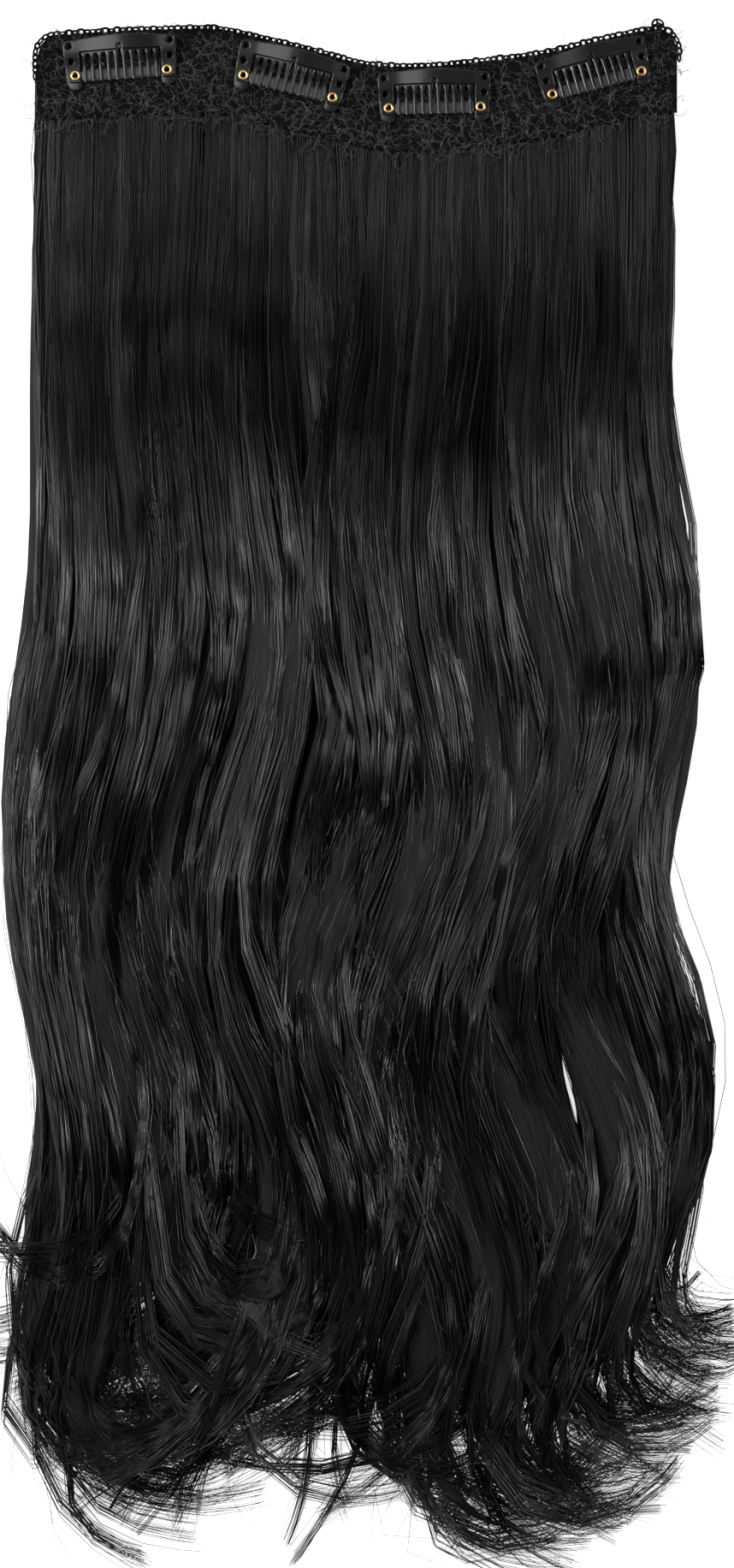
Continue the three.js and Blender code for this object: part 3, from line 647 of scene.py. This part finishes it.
for name, first, last in (
    ("strands_left", 0, 3),
    ("strands_left_middle", 3, 6),
    ("strands_right_middle", 6, 9),
    ("strands_right", 9, 12),
):
    strands = wisp_strands(UPPER_LOCKS[first:last], WISPS_PER_LOCK, STRANDS_PER_WISP, UPPER_LOWEST)
    hang_strands(name, strands, STRAND_RADIUS_M)
strands = wisp_strands(UNDER_LOCKS, UNDER_WISPS, UNDER_STRANDS, UNDER_LOWEST)
hang_strands("strands_under", strands, STRAND_RADIUS_M)
strands = wisp_strands(UPPER_LOCKS, STRAYS_PER_LOCK, 1, STRAY_LOWEST, STRAY_LOOSE)
hang_strands("strays", strands, STRAY_RADIUS_M)

# Net band: black net with crinkled fibre worked into it, sewn over the hair's roots.
# It is a thin puckered sheet, and short curly fibres lie all over its face.
BAND_GAUGE_M = 0.0009
PUCKER_M = 0.00022
BAND_COLUMNS, BAND_ROWS = 160, 20
FACE_COLUMNS, FACE_ROWS = 110, 14
FACE_TOP_IN_M, FACE_END_IN_M, FACE_OVERHANG_M = 0.001, 0.0012, 0.0024  # of the part that fibre covers
FACE_LIFT_M = 0.0001
FIBRE_STOPS, FIBRE_SIDES = 13, 3
FIBRE_DENSITY = 340000  # to a square metre
FIBRE_LENGTH_M = 0.006
FIBRE_RADIUS_M = 0.00009
FIBRE_CRIMP_M = 0.0062

net_finish = Finish("crinkled_net", (0.004, 0.004, 0.004), 0.8, Specular_IOR_Level=0.15)
net_place = net_finish.place()
cell_sockets = {"Vector": net_place, "Scale": 1100.0}
mesh_cells = net_finish.node("ShaderNodeTexVoronoi", {"feature": "DISTANCE_TO_EDGE"}, cell_sockets)
crinkle = net_finish.noise(net_place, 1500.0, 3.0)
net_finish.feed("Base Color", net_finish.ramp(crinkle, (0.4, 0.001), (0.75, 0.008)))
net_finish.bump(mesh_cells * 1.5 + crinkle, 0.0005)
# The fibres' grey is lighter than the black fibre itself: a painted sheen that stands in for the light their
# curls catch.
fibre_painted_sheen_finish = Finish("crinkled_fibre_painted_sheen", (0.06, 0.06, 0.061), 0.25)

band_grid = strip_rows(0, BAND_HEIGHT_M, 0, BAND_COLUMNS, BAND_ROWS)
band_x, band_y = band_grid.reshape(-1, 2).T


def wandering_waves(main, cross, pitch, wander, wander_pitch):
    return np.sin(main * pitch + wander * np.sin(cross * wander_pitch))


pucker = (wandering_waves(band_x, band_y, 900, 3, 500) + wandering_waves(band_y, band_x, 1100, 2, 640)) / 2
band_points, band_faces = slab(band_grid, band_low.z, band_low.z + BAND_GAUGE_M + PUCKER_M * pucker)
band_data = bpy.data.meshes.new("band_net")
band_data.from_pydata(band_points.tolist(), [], band_faces)
band_data.shade_smooth()
band_net = make_object("band_net", band_data, net_finish.material)
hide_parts("net_band")
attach(band_net, "weft")

fibre_tree, given = node_tree(
    "fibres_on_face", [("Density", "Float"), ("Length", "Float"), ("Crimp", "Float"), ("Radius", "Float")]
)
scattered = join(
    fibre_tree,
    "GeometryNodeDistributePointsOnFaces",
    Mesh=given["Geometry"],
    Density=given["Density"],
    Seed=5,
)
end = join(fibre_tree, "ShaderNodeCombineXYZ", X=given["Length"])
straight = join(fibre_tree, "GeometryNodeCurvePrimitiveLine", End=end)
stops = join(fibre_tree, "GeometryNodeResampleCurve", Curve=straight, Count=FIBRE_STOPS)
spin = join(
    fibre_tree,
    "FunctionNodeRandomValue",
    {"data_type": "FLOAT_VECTOR"},
    _0=(0.0, 0.0, 0.0),
    _1=(0.0, 0.0, 2 * math.pi),
    Seed=6,
)
strewn = join(fibre_tree, "GeometryNodeInstanceOnPoints", Points=scattered, Instance=stops, Rotation=spin)
loose = join(fibre_tree, "GeometryNodeRealizeInstances", Geometry=strewn)
wander = join(fibre_tree, "ShaderNodeTexNoise", {"noise_dimensions": "3D"}, Scale=620.0, Detail=1.0)
centred = vector_node(fibre_tree, "SUBTRACT", wander.node.outputs["Color"], _1=(0.5, 0.5, 0.42))
crimp = vector_node(fibre_tree, "SCALE", centred, Scale=given["Crimp"])
flattened = vector_node(fibre_tree, "MULTIPLY", crimp, _1=(1.0, 1.0, 0.16))
crimped = join(fibre_tree, "GeometryNodeSetPosition", Geometry=loose, Offset=flattened)
tubes = join(
    fibre_tree,
    "GeometryNodeCurveToMesh",
    Curve=crimped,
    Profile_Curve=circle(fibre_tree, FIBRE_SIDES, given["Radius"]),
    Fill_Caps=True,
)
rounded = join(fibre_tree, "GeometryNodeSetShadeSmooth", Geometry=tubes, Shade_Smooth=True)
end_tree(fibre_tree, rounded, given)

face_bottom = BAND_HEIGHT_M + FACE_OVERHANG_M
face_grid = strip_rows(FACE_TOP_IN_M, face_bottom, FACE_END_IN_M, FACE_COLUMNS, FACE_ROWS)
face_data = bpy.data.meshes.new("band_face")
face_height = np.full(FACE_ROWS * FACE_COLUMNS, band_low.z + BAND_GAUGE_M + FACE_LIFT_M)
face_points = np.column_stack([face_grid.reshape(-1, 2), face_height])
face_data.from_pydata(face_points.tolist(), [], grid_faces(FACE_ROWS, FACE_COLUMNS))
band_fibres = grown(
    "band_fibres",
    face_data,
    fibre_tree,
    {
        "Density": FIBRE_DENSITY,
        "Length": FIBRE_LENGTH_M,
        "Crimp": FIBRE_CRIMP_M,
        "Radius": FIBRE_RADIUS_M,
        "Finish": fibre_painted_sheen_finish.material,
    },
)
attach(band_fibres, "weft")

# Edge chain: a crocheted chain of black thread along the top of the band. Light shows through its loops.
# Each loop is a ring of thread that is linked with the next, and every second one is tipped over.
THREAD_RADIUS_M = 0.00038
LOOP_HALF_LENGTH_M = 0.0013
LOOP_HALF_HEIGHT_M = 0.00074
LOOP_PITCH_M = 0.0019
CHAIN_LIFT_M = 0.0007  # of the loops' middles over the band's edge
KNOT_RADIUS_M = 0.0011  # of the turn that the chain takes at its right corner
LEFT_RUN_M, RIGHT_RUN_M = 0.0125, 0.0085  # how far the chain goes down the band's ends
RUN_STOPS, ARC_STOPS, KNOT_STOPS = 110, 9, 14
LOOP_SIDES, THREAD_SIDES = 14, 5
TIPPED = 0.4  # radians, one way and the other

thread_finish = Finish("crochet_thread", (0.003, 0.003, 0.003), 0.6, Specular_IOR_Level=0.08)
thread_place = thread_finish.place()
thread_finish.bump(thread_finish.noise(thread_place, 4200.0, 2.0), 0.00012)

cord_low, cord_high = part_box("edge_cord")
corner_reach = 1 - CORNER_ROUND_M / BAND_HALF_M
top_run = edge_place(np.linspace(-corner_reach, corner_reach, RUN_STOPS), -CHAIN_LIFT_M)
quarter = np.linspace(0, np.pi / 2, ARC_STOPS)[:-1]
arc_radius = CORNER_ROUND_M + CHAIN_LIFT_M
left_middle = edge_place(-corner_reach, CORNER_ROUND_M)
right_middle = edge_place(corner_reach, CORNER_ROUND_M)
left_arc = left_middle + arc_radius * np.stack([-np.cos(quarter), np.sin(quarter)], axis=-1)
right_arc = (right_middle + arc_radius * np.stack([np.cos(quarter), np.sin(quarter)], axis=-1))[::-1]
left_foot = left_arc[:1] - [0, LEFT_RUN_M - CORNER_ROUND_M]
right_foot = right_arc[-1:] - [0, RIGHT_RUN_M - CORNER_ROUND_M]
around = np.linspace(-np.pi / 2, 3 * np.pi / 2, KNOT_STOPS)[1:-1]
knot = top_run[-1] + KNOT_RADIUS_M * np.stack([np.cos(around), np.sin(around) + 1], axis=-1)
chain_xy = np.concatenate([left_foot, left_arc, top_run, knot, right_arc, right_foot])
chain_z = np.full(len(chain_xy), (cord_low.z + cord_high.z) / 2)
chain_line = line_mesh(
    "edge_chain", np.column_stack([chain_xy, chain_z])[None], np.ones((1, len(chain_xy))), np.zeros(1)
)

chain_tree, given = node_tree(
    "chain_along_line",
    [("Pitch", "Float"), ("Half length", "Float"), ("Half height", "Float"), ("Thread", "Float")],
)
path = join(chain_tree, "GeometryNodeMeshToCurve", Mesh=given["Geometry"])
spaced = join(chain_tree, "GeometryNodeCurveToPoints", {"mode": "LENGTH"}, Curve=path, Length=given["Pitch"])
hoop = circle(chain_tree, LOOP_SIDES, 1.0)
oval_size = join(chain_tree, "ShaderNodeCombineXYZ", X=given["Half length"], Y=given["Half height"], Z=1.0)
oval = join(chain_tree, "GeometryNodeTransform", Geometry=hoop, Scale=oval_size)
loop = join(
    chain_tree,
    "GeometryNodeCurveToMesh",
    Curve=oval,
    Profile_Curve=circle(chain_tree, THREAD_SIDES, given["Thread"]),
)
along_line = join(
    chain_tree, "FunctionNodeAlignRotationToVector", {"axis": "X"}, Vector=spaced.node.outputs["Tangent"]
)
number = join(chain_tree, "GeometryNodeInputIndex")
odd = math_node(chain_tree, "MODULO", number, 2.0)
tip = math_node(chain_tree, "MULTIPLY_ADD", odd, 2 * TIPPED, -TIPPED)
tip_turn = join(chain_tree, "ShaderNodeCombineXYZ", X=tip)
tip_rotation = join(chain_tree, "FunctionNodeEulerToRotation", Euler=tip_turn)
in_its_line = {"rotation_space": "LOCAL"}
turned = join(
    chain_tree, "FunctionNodeRotateRotation", in_its_line, Rotation=along_line, Rotate_By=tip_rotation
)
uneven = join(
    chain_tree,
    "FunctionNodeRandomValue",
    {"data_type": "FLOAT_VECTOR"},
    _0=(0.8, 0.7, 0.9),
    _1=(1.1, 1.2, 1.1),
    Seed=3,
)
linked = join(
    chain_tree, "GeometryNodeInstanceOnPoints", Points=spaced, Instance=loop, Rotation=turned, Scale=uneven
)
end_tree(chain_tree, linked, given)

edge_chain = grown(
    "edge_chain",
    chain_line,
    chain_tree,
    {
        "Pitch": LOOP_PITCH_M,
        "Half length": LOOP_HALF_LENGTH_M,
        "Half height": LOOP_HALF_HEIGHT_M,
        "Thread": THREAD_RADIUS_M,
        "Finish": thread_finish.material,
    },
)
edge_chain.data.shade_smooth()
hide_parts("edge_cord")
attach(edge_chain, "weft")

# Clip plates: the front of each snap clip, stamped from spring steel, domed at the arch and lacquered black.
# They are riveted to the frames and sewn on with them. All lengths here are in the clip's own millimetres.
CLIPS = 4
MM = 0.001
EYELET_REACH = 14.4
PLATE_HALF, FOOT_HALF, FOOT_DROP = 17.9, 17.0, 2.2
CORNER_RISE, ARCH_PEAK = 10.6, 11.8
WINDOW_HALF, WINDOW_TOP = 12.8, 7.2
PLATE_THICKNESS, EDGE_ROUND = 0.55, 0.24
FINE_CUT, COARSE_CUT = 0.8, 4  # between the cuts that let a sheet bend
SHARP_ANGLE = 40  # degrees
WELD, CUT_NEAR = 0.0005, 0.0001
LEG_RISE, DOME = 0.9, 1.0
NOTCH_HALF, NOTCH_HEIGHT = 0.9, 1.7
HOLE_RADIUS = 1.0
SEW_HOLES = ((15.9, 9.2), (15.5, 4.4))
GAP = 0.3
SHEET = 0.4
FLANGE_THICKNESS = 0.3
EYELET_BORE, EYELET_BARREL, EYELET_FLANGE = 0.75, 1.0, 1.65
FLANGE_BACK = GAP + 0.05
FRAME_BACK = FLANGE_BACK + FLANGE_THICKNESS + GAP
PLATE_BACK = FRAME_BACK + SHEET + GAP
FLANGE_FRONT = PLATE_BACK + PLATE_THICKNESS + GAP

clip_places = []
for number in range(1, CLIPS + 1):
    ends = []
    for end in ("left", "right"):
        low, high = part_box(f"clip_{number}_eyelet_{end}")
        ends.append((low + high) / 2)
    line = ends[1] - ends[0]
    middle = (ends[0] + ends[1]) / 2
    middle.z = band_high.z
    turn = Matrix.Rotation(math.atan2(line.y, line.x), 4, "Z")
    clip_places.append(Matrix.Translation(middle) @ turn @ Matrix.Scale(MM, 4))


def rounded_outline(corners, facets=6):
    """A closed outline through corners of x, y and radius, with each corner rounded."""
    outline = []
    for i, (x, y, radius) in enumerate(corners):
        corner = Vector((x, y))
        before = (Vector(corners[i - 1][:2]) - corner).normalized()
        after = (Vector(corners[(i + 1) % len(corners)][:2]) - corner).normalized()
        if radius == 0:
            outline.append(corner)
            continue
        for step in range(facets + 1):
            t = step / facets
            start, finish = corner + before * radius, corner + after * radius
            outline.append(start * (1 - t) ** 2 + corner * 2 * t * (1 - t) + finish * t**2)
    return outline


def ring_angles(sides, offset=0.0):
    return [2 * math.pi * (i + offset) / sides for i in range(sides)]


def ring_outline(x, y, radius, facets=20):
    return [Vector((x + radius * math.cos(a), y + radius * math.sin(a))) for a in ring_angles(facets)]


def stamping(outlines, thickness, edge_round, spacing):
    """A flat sheet with holes and round edges, cut finely enough to be bent, in millimetres."""
    curve = bpy.data.curves.new("stamping", "CURVE")
    curve.dimensions = "2D"
    curve.fill_mode = "BOTH"
    curve.extrude = thickness / 2 - edge_round
    curve.bevel_depth = edge_round
    curve.bevel_resolution = 2
    curve.offset = -edge_round
    for outline in outlines:
        spline = curve.splines.new("POLY")
        spline.points.add(len(outline) - 1)
        for point, place in zip(spline.points, outline):
            point.co = (place.x, place.y, 0, 1)
        spline.use_cyclic_u = True
    shape = bpy.data.objects.new("stamping", curve)
    bpy.context.collection.objects.link(shape)
    mesh = bpy.data.meshes.new_from_object(shape.evaluated_get(bpy.context.evaluated_depsgraph_get()))
    bpy.data.objects.remove(shape)
    work = bmesh.new()
    work.from_mesh(mesh)
    bmesh.ops.remove_doubles(work, verts=work.verts, dist=WELD)
    for axis in (0, 1):
        values = [v.co[axis] for v in work.verts]
        cut = math.floor(min(values)) + spacing
        while cut < max(values):
            normal = Vector((axis == 0, axis == 1, 0))
            every = work.verts[:] + work.edges[:] + work.faces[:]
            bmesh.ops.bisect_plane(work, geom=every, plane_co=normal * cut, plane_no=normal, dist=CUT_NEAR)
            cut += spacing
    bmesh.ops.recalc_face_normals(work, faces=work.faces)
    return work


def bulge(x):
    return DOME * max(0.0, 1 - (x / WINDOW_HALF) ** 2) ** 2


def soft_step(value, low, high):
    t = min(1.0, max(0.0, (value - low) / (high - low)))
    return t * t * (3 - 2 * t)


def plate_lift(x, y):
    """How far the plate stands out at a place: its legs lean out, and its arch bulges."""
    return LEG_RISE * soft_step(y, EYELET_FLANGE, WINDOW_TOP) + bulge(x) * soft_step(y, 0, WINDOW_TOP)


def skin(rings, looped=False):
    """A surface over rings of points, closed by a cap at each end or by its run back to the first ring."""
    work = bmesh.new()
    rows = [[work.verts.new(point) for point in ring] for ring in rings]
    for low_row, high_row in zip(rows, rows[1:] + rows[: int(looped)]):
        for i in range(len(low_row)):
            j = (i + 1) % len(low_row)
            work.faces.new((low_row[i], low_row[j], high_row[j], high_row[i]))
    if not looped:
        work.faces.new(rows[0])
        work.faces.new(rows[-1])
    bmesh.ops.recalc_face_normals(work, faces=work.faces)
    return work


def on_clips(name, work, finish):
    """One object with a copy of a bent clip piece on each clip."""
    piece = bpy.data.meshes.new(name)
    work.to_mesh(piece)
    work.free()
    joined = bmesh.new()
    for place in clip_places:
        copy = piece.copy()
        copy.transform(place)
        joined.from_mesh(copy)
        bpy.data.meshes.remove(copy)
    mesh = bpy.data.meshes.new(name)
    joined.to_mesh(mesh)
    joined.free()
    bpy.data.meshes.remove(piece)
    mesh.shade_smooth()
    mesh.set_sharp_from_angle(angle=math.radians(SHARP_ANGLE))
    return make_object(name, mesh, finish.material)


lacquer = Finish("black_lacquer", (0.003, 0.003, 0.0032), 0.3, Coat_Weight=0.25, Coat_Roughness=0.1)
lacquer_place = lacquer.place()
smears = lacquer.noise(lacquer_place, 160.0, 4.0)
lacquer.feed("Roughness", 0.24 + smears * 0.16)
lacquer.bump(lacquer.noise(lacquer_place, 380.0, 1.0), 0.00004, 0.6)

right_side = [
    (NOTCH_HALF, WINDOW_TOP, 0.3),
    (WINDOW_HALF, WINDOW_TOP, 0.9),
    (WINDOW_HALF, -FOOT_DROP, 0.35),
    (FOOT_HALF, -FOOT_DROP, 1.9),
    (PLATE_HALF, CORNER_RISE, 1.7),
]
arch_right = [
    (share * (PLATE_HALF - 1.3), CORNER_RISE + (ARCH_PEAK - CORNER_RISE) * (1 - share**2), 0)
    for share in (0.9, 0.75, 0.6, 0.45, 0.3, 0.15)
]
half_outline = [(NOTCH_HALF * 0.6, WINDOW_TOP + NOTCH_HEIGHT, 0.4)] + right_side + arch_right
other_half = [(-x, y, radius) for x, y, radius in reversed(half_outline)]
plate_outline = rounded_outline(half_outline + [(0, ARCH_PEAK, 0)] + other_half)
plate_holes = []
for side in (-1, 1):
    plate_holes.append(ring_outline(side * EYELET_REACH, 0, EYELET_BARREL + GAP))
    for out, up in SEW_HOLES:
        plate_holes.append(ring_outline(side * out, up, HOLE_RADIUS))
work = stamping([plate_outline] + plate_holes, PLATE_THICKNESS, EDGE_ROUND, FINE_CUT)
for vertex in work.verts:
    vertex.co.z += PLATE_BACK + PLATE_THICKNESS / 2 + plate_lift(vertex.co.x, vertex.co.y)
clip_plates = on_clips("clip_plates", work, lacquer)
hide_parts(*[f"clip_{number}_plate" for number in range(1, CLIPS + 1)])
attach(clip_plates, "weft")

# Back frames: the flat steel frames behind the plates, with two rounded ears each and the same black lacquer.
# They are sewn to the band through their holes.
FRAME_HALF, FRAME_TOP, FRAME_ARCH, FRAME_CORNER = 17.3, 10.4, 1.2, 0.8
FRAME_ROUND = 0.1
EAR_DROP, EAR_RADIUS, BAR_HALF = 2.5, 1.9, 1.2

ear = [
    (EYELET_REACH - EAR_RADIUS, -BAR_HALF, 0.3),
    (EYELET_REACH - EAR_RADIUS, -EAR_DROP - EAR_RADIUS, 1.8),
    (EYELET_REACH + EAR_RADIUS + 0.1, -EAR_DROP - EAR_RADIUS, 1.8),
    (FRAME_HALF, 0, 0.8),
    (FRAME_HALF + 0.3, FRAME_TOP / 2, 0.8),
    (FRAME_HALF, FRAME_TOP, FRAME_CORNER),
]
frame_outline = rounded_outline(ear + [(-x, y, radius) for x, y, radius in reversed(ear)])
inner_half = WINDOW_HALF - 0.1
frame_window = rounded_outline([
    (-inner_half, BAR_HALF, 0.4),
    (inner_half, BAR_HALF, 0.4),
    (inner_half, FRAME_TOP - FRAME_ARCH, 0.4),
    (-inner_half, FRAME_TOP - FRAME_ARCH, 0.4),
])
work = stamping([frame_outline, frame_window] + plate_holes, SHEET, FRAME_ROUND, COARSE_CUT)
for vertex in work.verts:
    vertex.co.z += FRAME_BACK + SHEET / 2
clip_frames = on_clips("clip_frames", work, lacquer)
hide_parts(*[f"clip_{number}_back_frame" for number in range(1, CLIPS + 1)])
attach(clip_frames, "weft")

# Combs: ten tapered teeth on a strip behind each arch, of the same lacquered steel, with tips that bend back.
# Each comb swings out on its own when the clip snaps open, so it is a piece of its own.
TEETH, TOOTH_PITCH = 10, 2.5
TOOTH_WIDTH, TIP_WIDTH, TIP_DROP, TIP_DIP = 1.2, 0.6, 3.3, 0.7
SLOT_TOP, STRIP_HALF, STRIP_HEIGHT, STRIP_ROUND = 6.7, 12.3, 2.0, 0.08
ROOT_FLARE, TIP_NARROWS, NARROWS_OVER = 0.55, 0.3, 0.5
FLARE_BELOW, FLARE_ABOVE = 1.1, 0.3  # where the flare begins and ends, from the top of the slots
BULGE_KEPT = 0.5  # over the sleeve
SECTION_SIDES, SECTION_POWER = 10, 0.6  # of a tooth's section, a circle that is squared off
SLEEVE_HEIGHT, SLEEVE_WALL = 3.9, 0.3
SLEEVE_DEPTH = SHEET + 2 * (GAP + SLEEVE_WALL)
SLEEVE_FRONT = FRAME_BACK + SHEET / 2 + SLEEVE_DEPTH / 2


def comb_middle(y, root_bulge):
    """Height of the comb's middle plane: behind the arch, over the sleeve, and bent back at the tips."""
    over = SLEEVE_HEIGHT / 2 + GAP
    at_root = PLATE_BACK + LEG_RISE + root_bulge - GAP - SHEET
    over_sleeve = SLEEVE_FRONT + GAP + SHEET / 2 + root_bulge * BULGE_KEPT
    slope = 1 - soft_step(y, over, SLOT_TOP)
    return at_root + (over_sleeve - at_root) * slope - TIP_DIP * soft_step(-y, over, TIP_DROP)


def squared_off(value, power):
    """A sine or cosine, raised to a power that keeps its sign, for sections between a circle and a square."""
    return math.copysign(abs(value) ** power, value)


# heights of a tooth's sections, from its root to its tip
tooth_levels = [SLOT_TOP + 0.9, SLOT_TOP, 6.2, 5.6, 4.8, 4, 3.2, 2.4, 1.4, 0, -1.2, -2.0, -2.5, -2.9]
tooth_levels.append(-TIP_DROP)
tooth_rings = []
for y in tooth_levels:
    root_flare = ROOT_FLARE * soft_step(y, SLOT_TOP - FLARE_BELOW, SLOT_TOP + FLARE_ABOVE)
    width = TOOTH_WIDTH + (TIP_WIDTH - TOOTH_WIDTH) * soft_step(-y, -SLOT_TOP, TIP_DROP) + root_flare
    width *= 1 - TIP_NARROWS * soft_step(-y, TIP_DROP - NARROWS_OVER, TIP_DROP)
    tooth_ring = []
    for angle in ring_angles(SECTION_SIDES, 0.5):
        x = width / 2 * squared_off(math.cos(angle), SECTION_POWER)
        z = SHEET / 2 * squared_off(math.sin(angle), SECTION_POWER)
        tooth_ring.append((x, y, z))
    tooth_rings.append(tooth_ring)
work = skin(tooth_rings)
tooth_data = bpy.data.meshes.new("tooth")
work.to_mesh(tooth_data)
work.free()

row_tree, given = node_tree("row_of_teeth", [("Count", "Int"), ("Pitch", "Float")])
less_one = math_node(row_tree, "SUBTRACT", given["Count"], 1.0)
full_row = math_node(row_tree, "MULTIPLY", less_one, given["Pitch"])
half_row = math_node(row_tree, "MULTIPLY", full_row, -0.5)
start = join(row_tree, "ShaderNodeCombineXYZ", X=half_row)
step = join(row_tree, "ShaderNodeCombineXYZ", X=given["Pitch"])
places = join(
    row_tree,
    "GeometryNodeMeshLine",
    {"mode": "OFFSET"},
    Count=given["Count"],
    Start_Location=start,
    Offset=step,
)
set_out = join(row_tree, "GeometryNodeInstanceOnPoints", Points=places, Instance=given["Geometry"])
end_tree(row_tree, set_out, given)
row_values = {"Count": TEETH, "Pitch": TOOTH_PITCH, "Finish": lacquer.material}
teeth = grown("teeth", tooth_data, row_tree, row_values)

strip_outline = rounded_outline([
    (-STRIP_HALF, SLOT_TOP, 0.3),
    (-NOTCH_HALF * 0.8, SLOT_TOP, 0.3),
    (-NOTCH_HALF * 0.8, SLOT_TOP + NOTCH_HEIGHT / 2, 0.5),
    (NOTCH_HALF * 0.8, SLOT_TOP + NOTCH_HEIGHT / 2, 0.5),
    (NOTCH_HALF * 0.8, SLOT_TOP, 0.3),
    (STRIP_HALF, SLOT_TOP, 0.3),
    (STRIP_HALF, SLOT_TOP + STRIP_HEIGHT, 0.3),
    (-STRIP_HALF, SLOT_TOP + STRIP_HEIGHT, 0.3),
])
work = stamping([strip_outline], SHEET, STRIP_ROUND, FINE_CUT)
work.from_mesh(teeth.data)
bpy.data.objects.remove(teeth)
bmesh.ops.recalc_face_normals(work, faces=work.faces)
for vertex in work.verts:
    vertex.co.z += comb_middle(min(vertex.co.y, SLOT_TOP), bulge(vertex.co.x))
comb_data = bpy.data.meshes.new("comb")
work.to_mesh(comb_data)
work.free()
for number, place in enumerate(clip_places, 1):
    mesh = comb_data.copy()
    mesh.transform(place)
    mesh.materials.clear()
    mesh.shade_smooth()
    mesh.set_sharp_from_angle(angle=math.radians(SHARP_ANGLE))
    comb = make_object(f"comb_{number}", mesh, lacquer.material)
    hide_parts(f"clip_{number}_comb")
    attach(comb, f"comb_{number}")

# Sleeves: soft grey silicone tubes, pushed over the bars of the back frames, which they grip.
# The combs press the hair against them.
SLEEVE_SIDES, SLEEVE_POWER_Y, SLEEVE_POWER_Z = 28, 0.55, 0.7
sleeve_finish = Finish("grey_silicone", (0.05, 0.05, 0.052), 0.4)
sleeve_place = sleeve_finish.place()
sleeve_wear = sleeve_finish.noise(sleeve_place, 900.0, 3.0)
sleeve_greys = sleeve_finish.ramp(sleeve_wear, (0.3, (0.035, 0.035, 0.037)), (0.7, (0.07, 0.07, 0.073)))
sleeve_finish.feed("Base Color", sleeve_greys)
sleeve_finish.bump(sleeve_wear, 0.00006)

sleeve_half = EYELET_REACH - EAR_RADIUS - GAP
sleeve_middle = SLEEVE_FRONT - SLEEVE_DEPTH / 2
# place along the sleeve and its section there, as shares
right_stations = [(0.5, 1), (0.96, 1), (0.985, 0.97), (1, 0.9)]
left_stations = [(-along, share) for along, share in reversed(right_stations)]
sleeve_rings = []
for along, share in left_stations + [(0, 1)] + right_stations:
    sleeve_ring = []
    for angle in ring_angles(SLEEVE_SIDES):
        y = SLEEVE_HEIGHT / 2 * share * squared_off(math.cos(angle), SLEEVE_POWER_Y)
        z = SLEEVE_DEPTH / 2 * share * squared_off(math.sin(angle), SLEEVE_POWER_Z)
        sleeve_ring.append((along * sleeve_half, y, sleeve_middle + z))
    sleeve_rings.append(sleeve_ring)
clip_sleeves = on_clips("clip_sleeves", skin(sleeve_rings), sleeve_finish)
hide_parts(*[f"clip_{number}_sleeve" for number in range(1, CLIPS + 1)])
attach(clip_sleeves, "weft")

# Eyelets: polished brass rivets, two to a clip, through the plate and its frame.
# Their fronts are rolled over, and hold the two together.
EYELET_SIDES, ROLL_STEPS = 36, 8
brass = Finish("polished_brass", (0.9, 0.62, 0.28), 0.3, Metallic=1.0)
brass_place = brass.place()
brass.feed("Roughness", 0.28 + brass.noise(brass_place, 1200.0, 2.0) * 0.14)

flange_top = FLANGE_FRONT + FLANGE_THICKNESS
roll = [
    (EYELET_BORE, FLANGE_BACK),
    (EYELET_FLANGE, FLANGE_BACK),
    (EYELET_FLANGE, FLANGE_BACK + FLANGE_THICKNESS),
    (EYELET_BARREL, FLANGE_BACK + FLANGE_THICKNESS),
    (EYELET_BARREL, FLANGE_FRONT),
]
roll_middle = (EYELET_FLANGE + EYELET_BORE) / 2
roll_half = (EYELET_FLANGE - EYELET_BORE) / 2
for i in range(ROLL_STEPS + 1):
    angle = math.pi * i / ROLL_STEPS
    rise = (flange_top - FLANGE_FRONT) * math.sin(angle)
    roll.append((roll_middle + roll_half * math.cos(angle), FLANGE_FRONT + rise))
eyelet_rings = [
    [(radius * math.cos(angle), radius * math.sin(angle), height) for angle in ring_angles(EYELET_SIDES)]
    for radius, height in roll
]
work = skin(eyelet_rings, looped=True)
single = bpy.data.meshes.new("eyelet")
work.to_mesh(single)
work.clear()
for side in (-1, 1):
    copy = single.copy()
    copy.transform(Matrix.Translation((side * EYELET_REACH, 0, 0)))
    work.from_mesh(copy)
clip_eyelets = on_clips("clip_eyelets", work, brass)
eyelet_ends = [(number, end) for number in range(1, CLIPS + 1) for end in ("left", "right")]
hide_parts(*[f"clip_{number}_eyelet_{end}" for number, end in eyelet_ends])
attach(clip_eyelets, "weft")
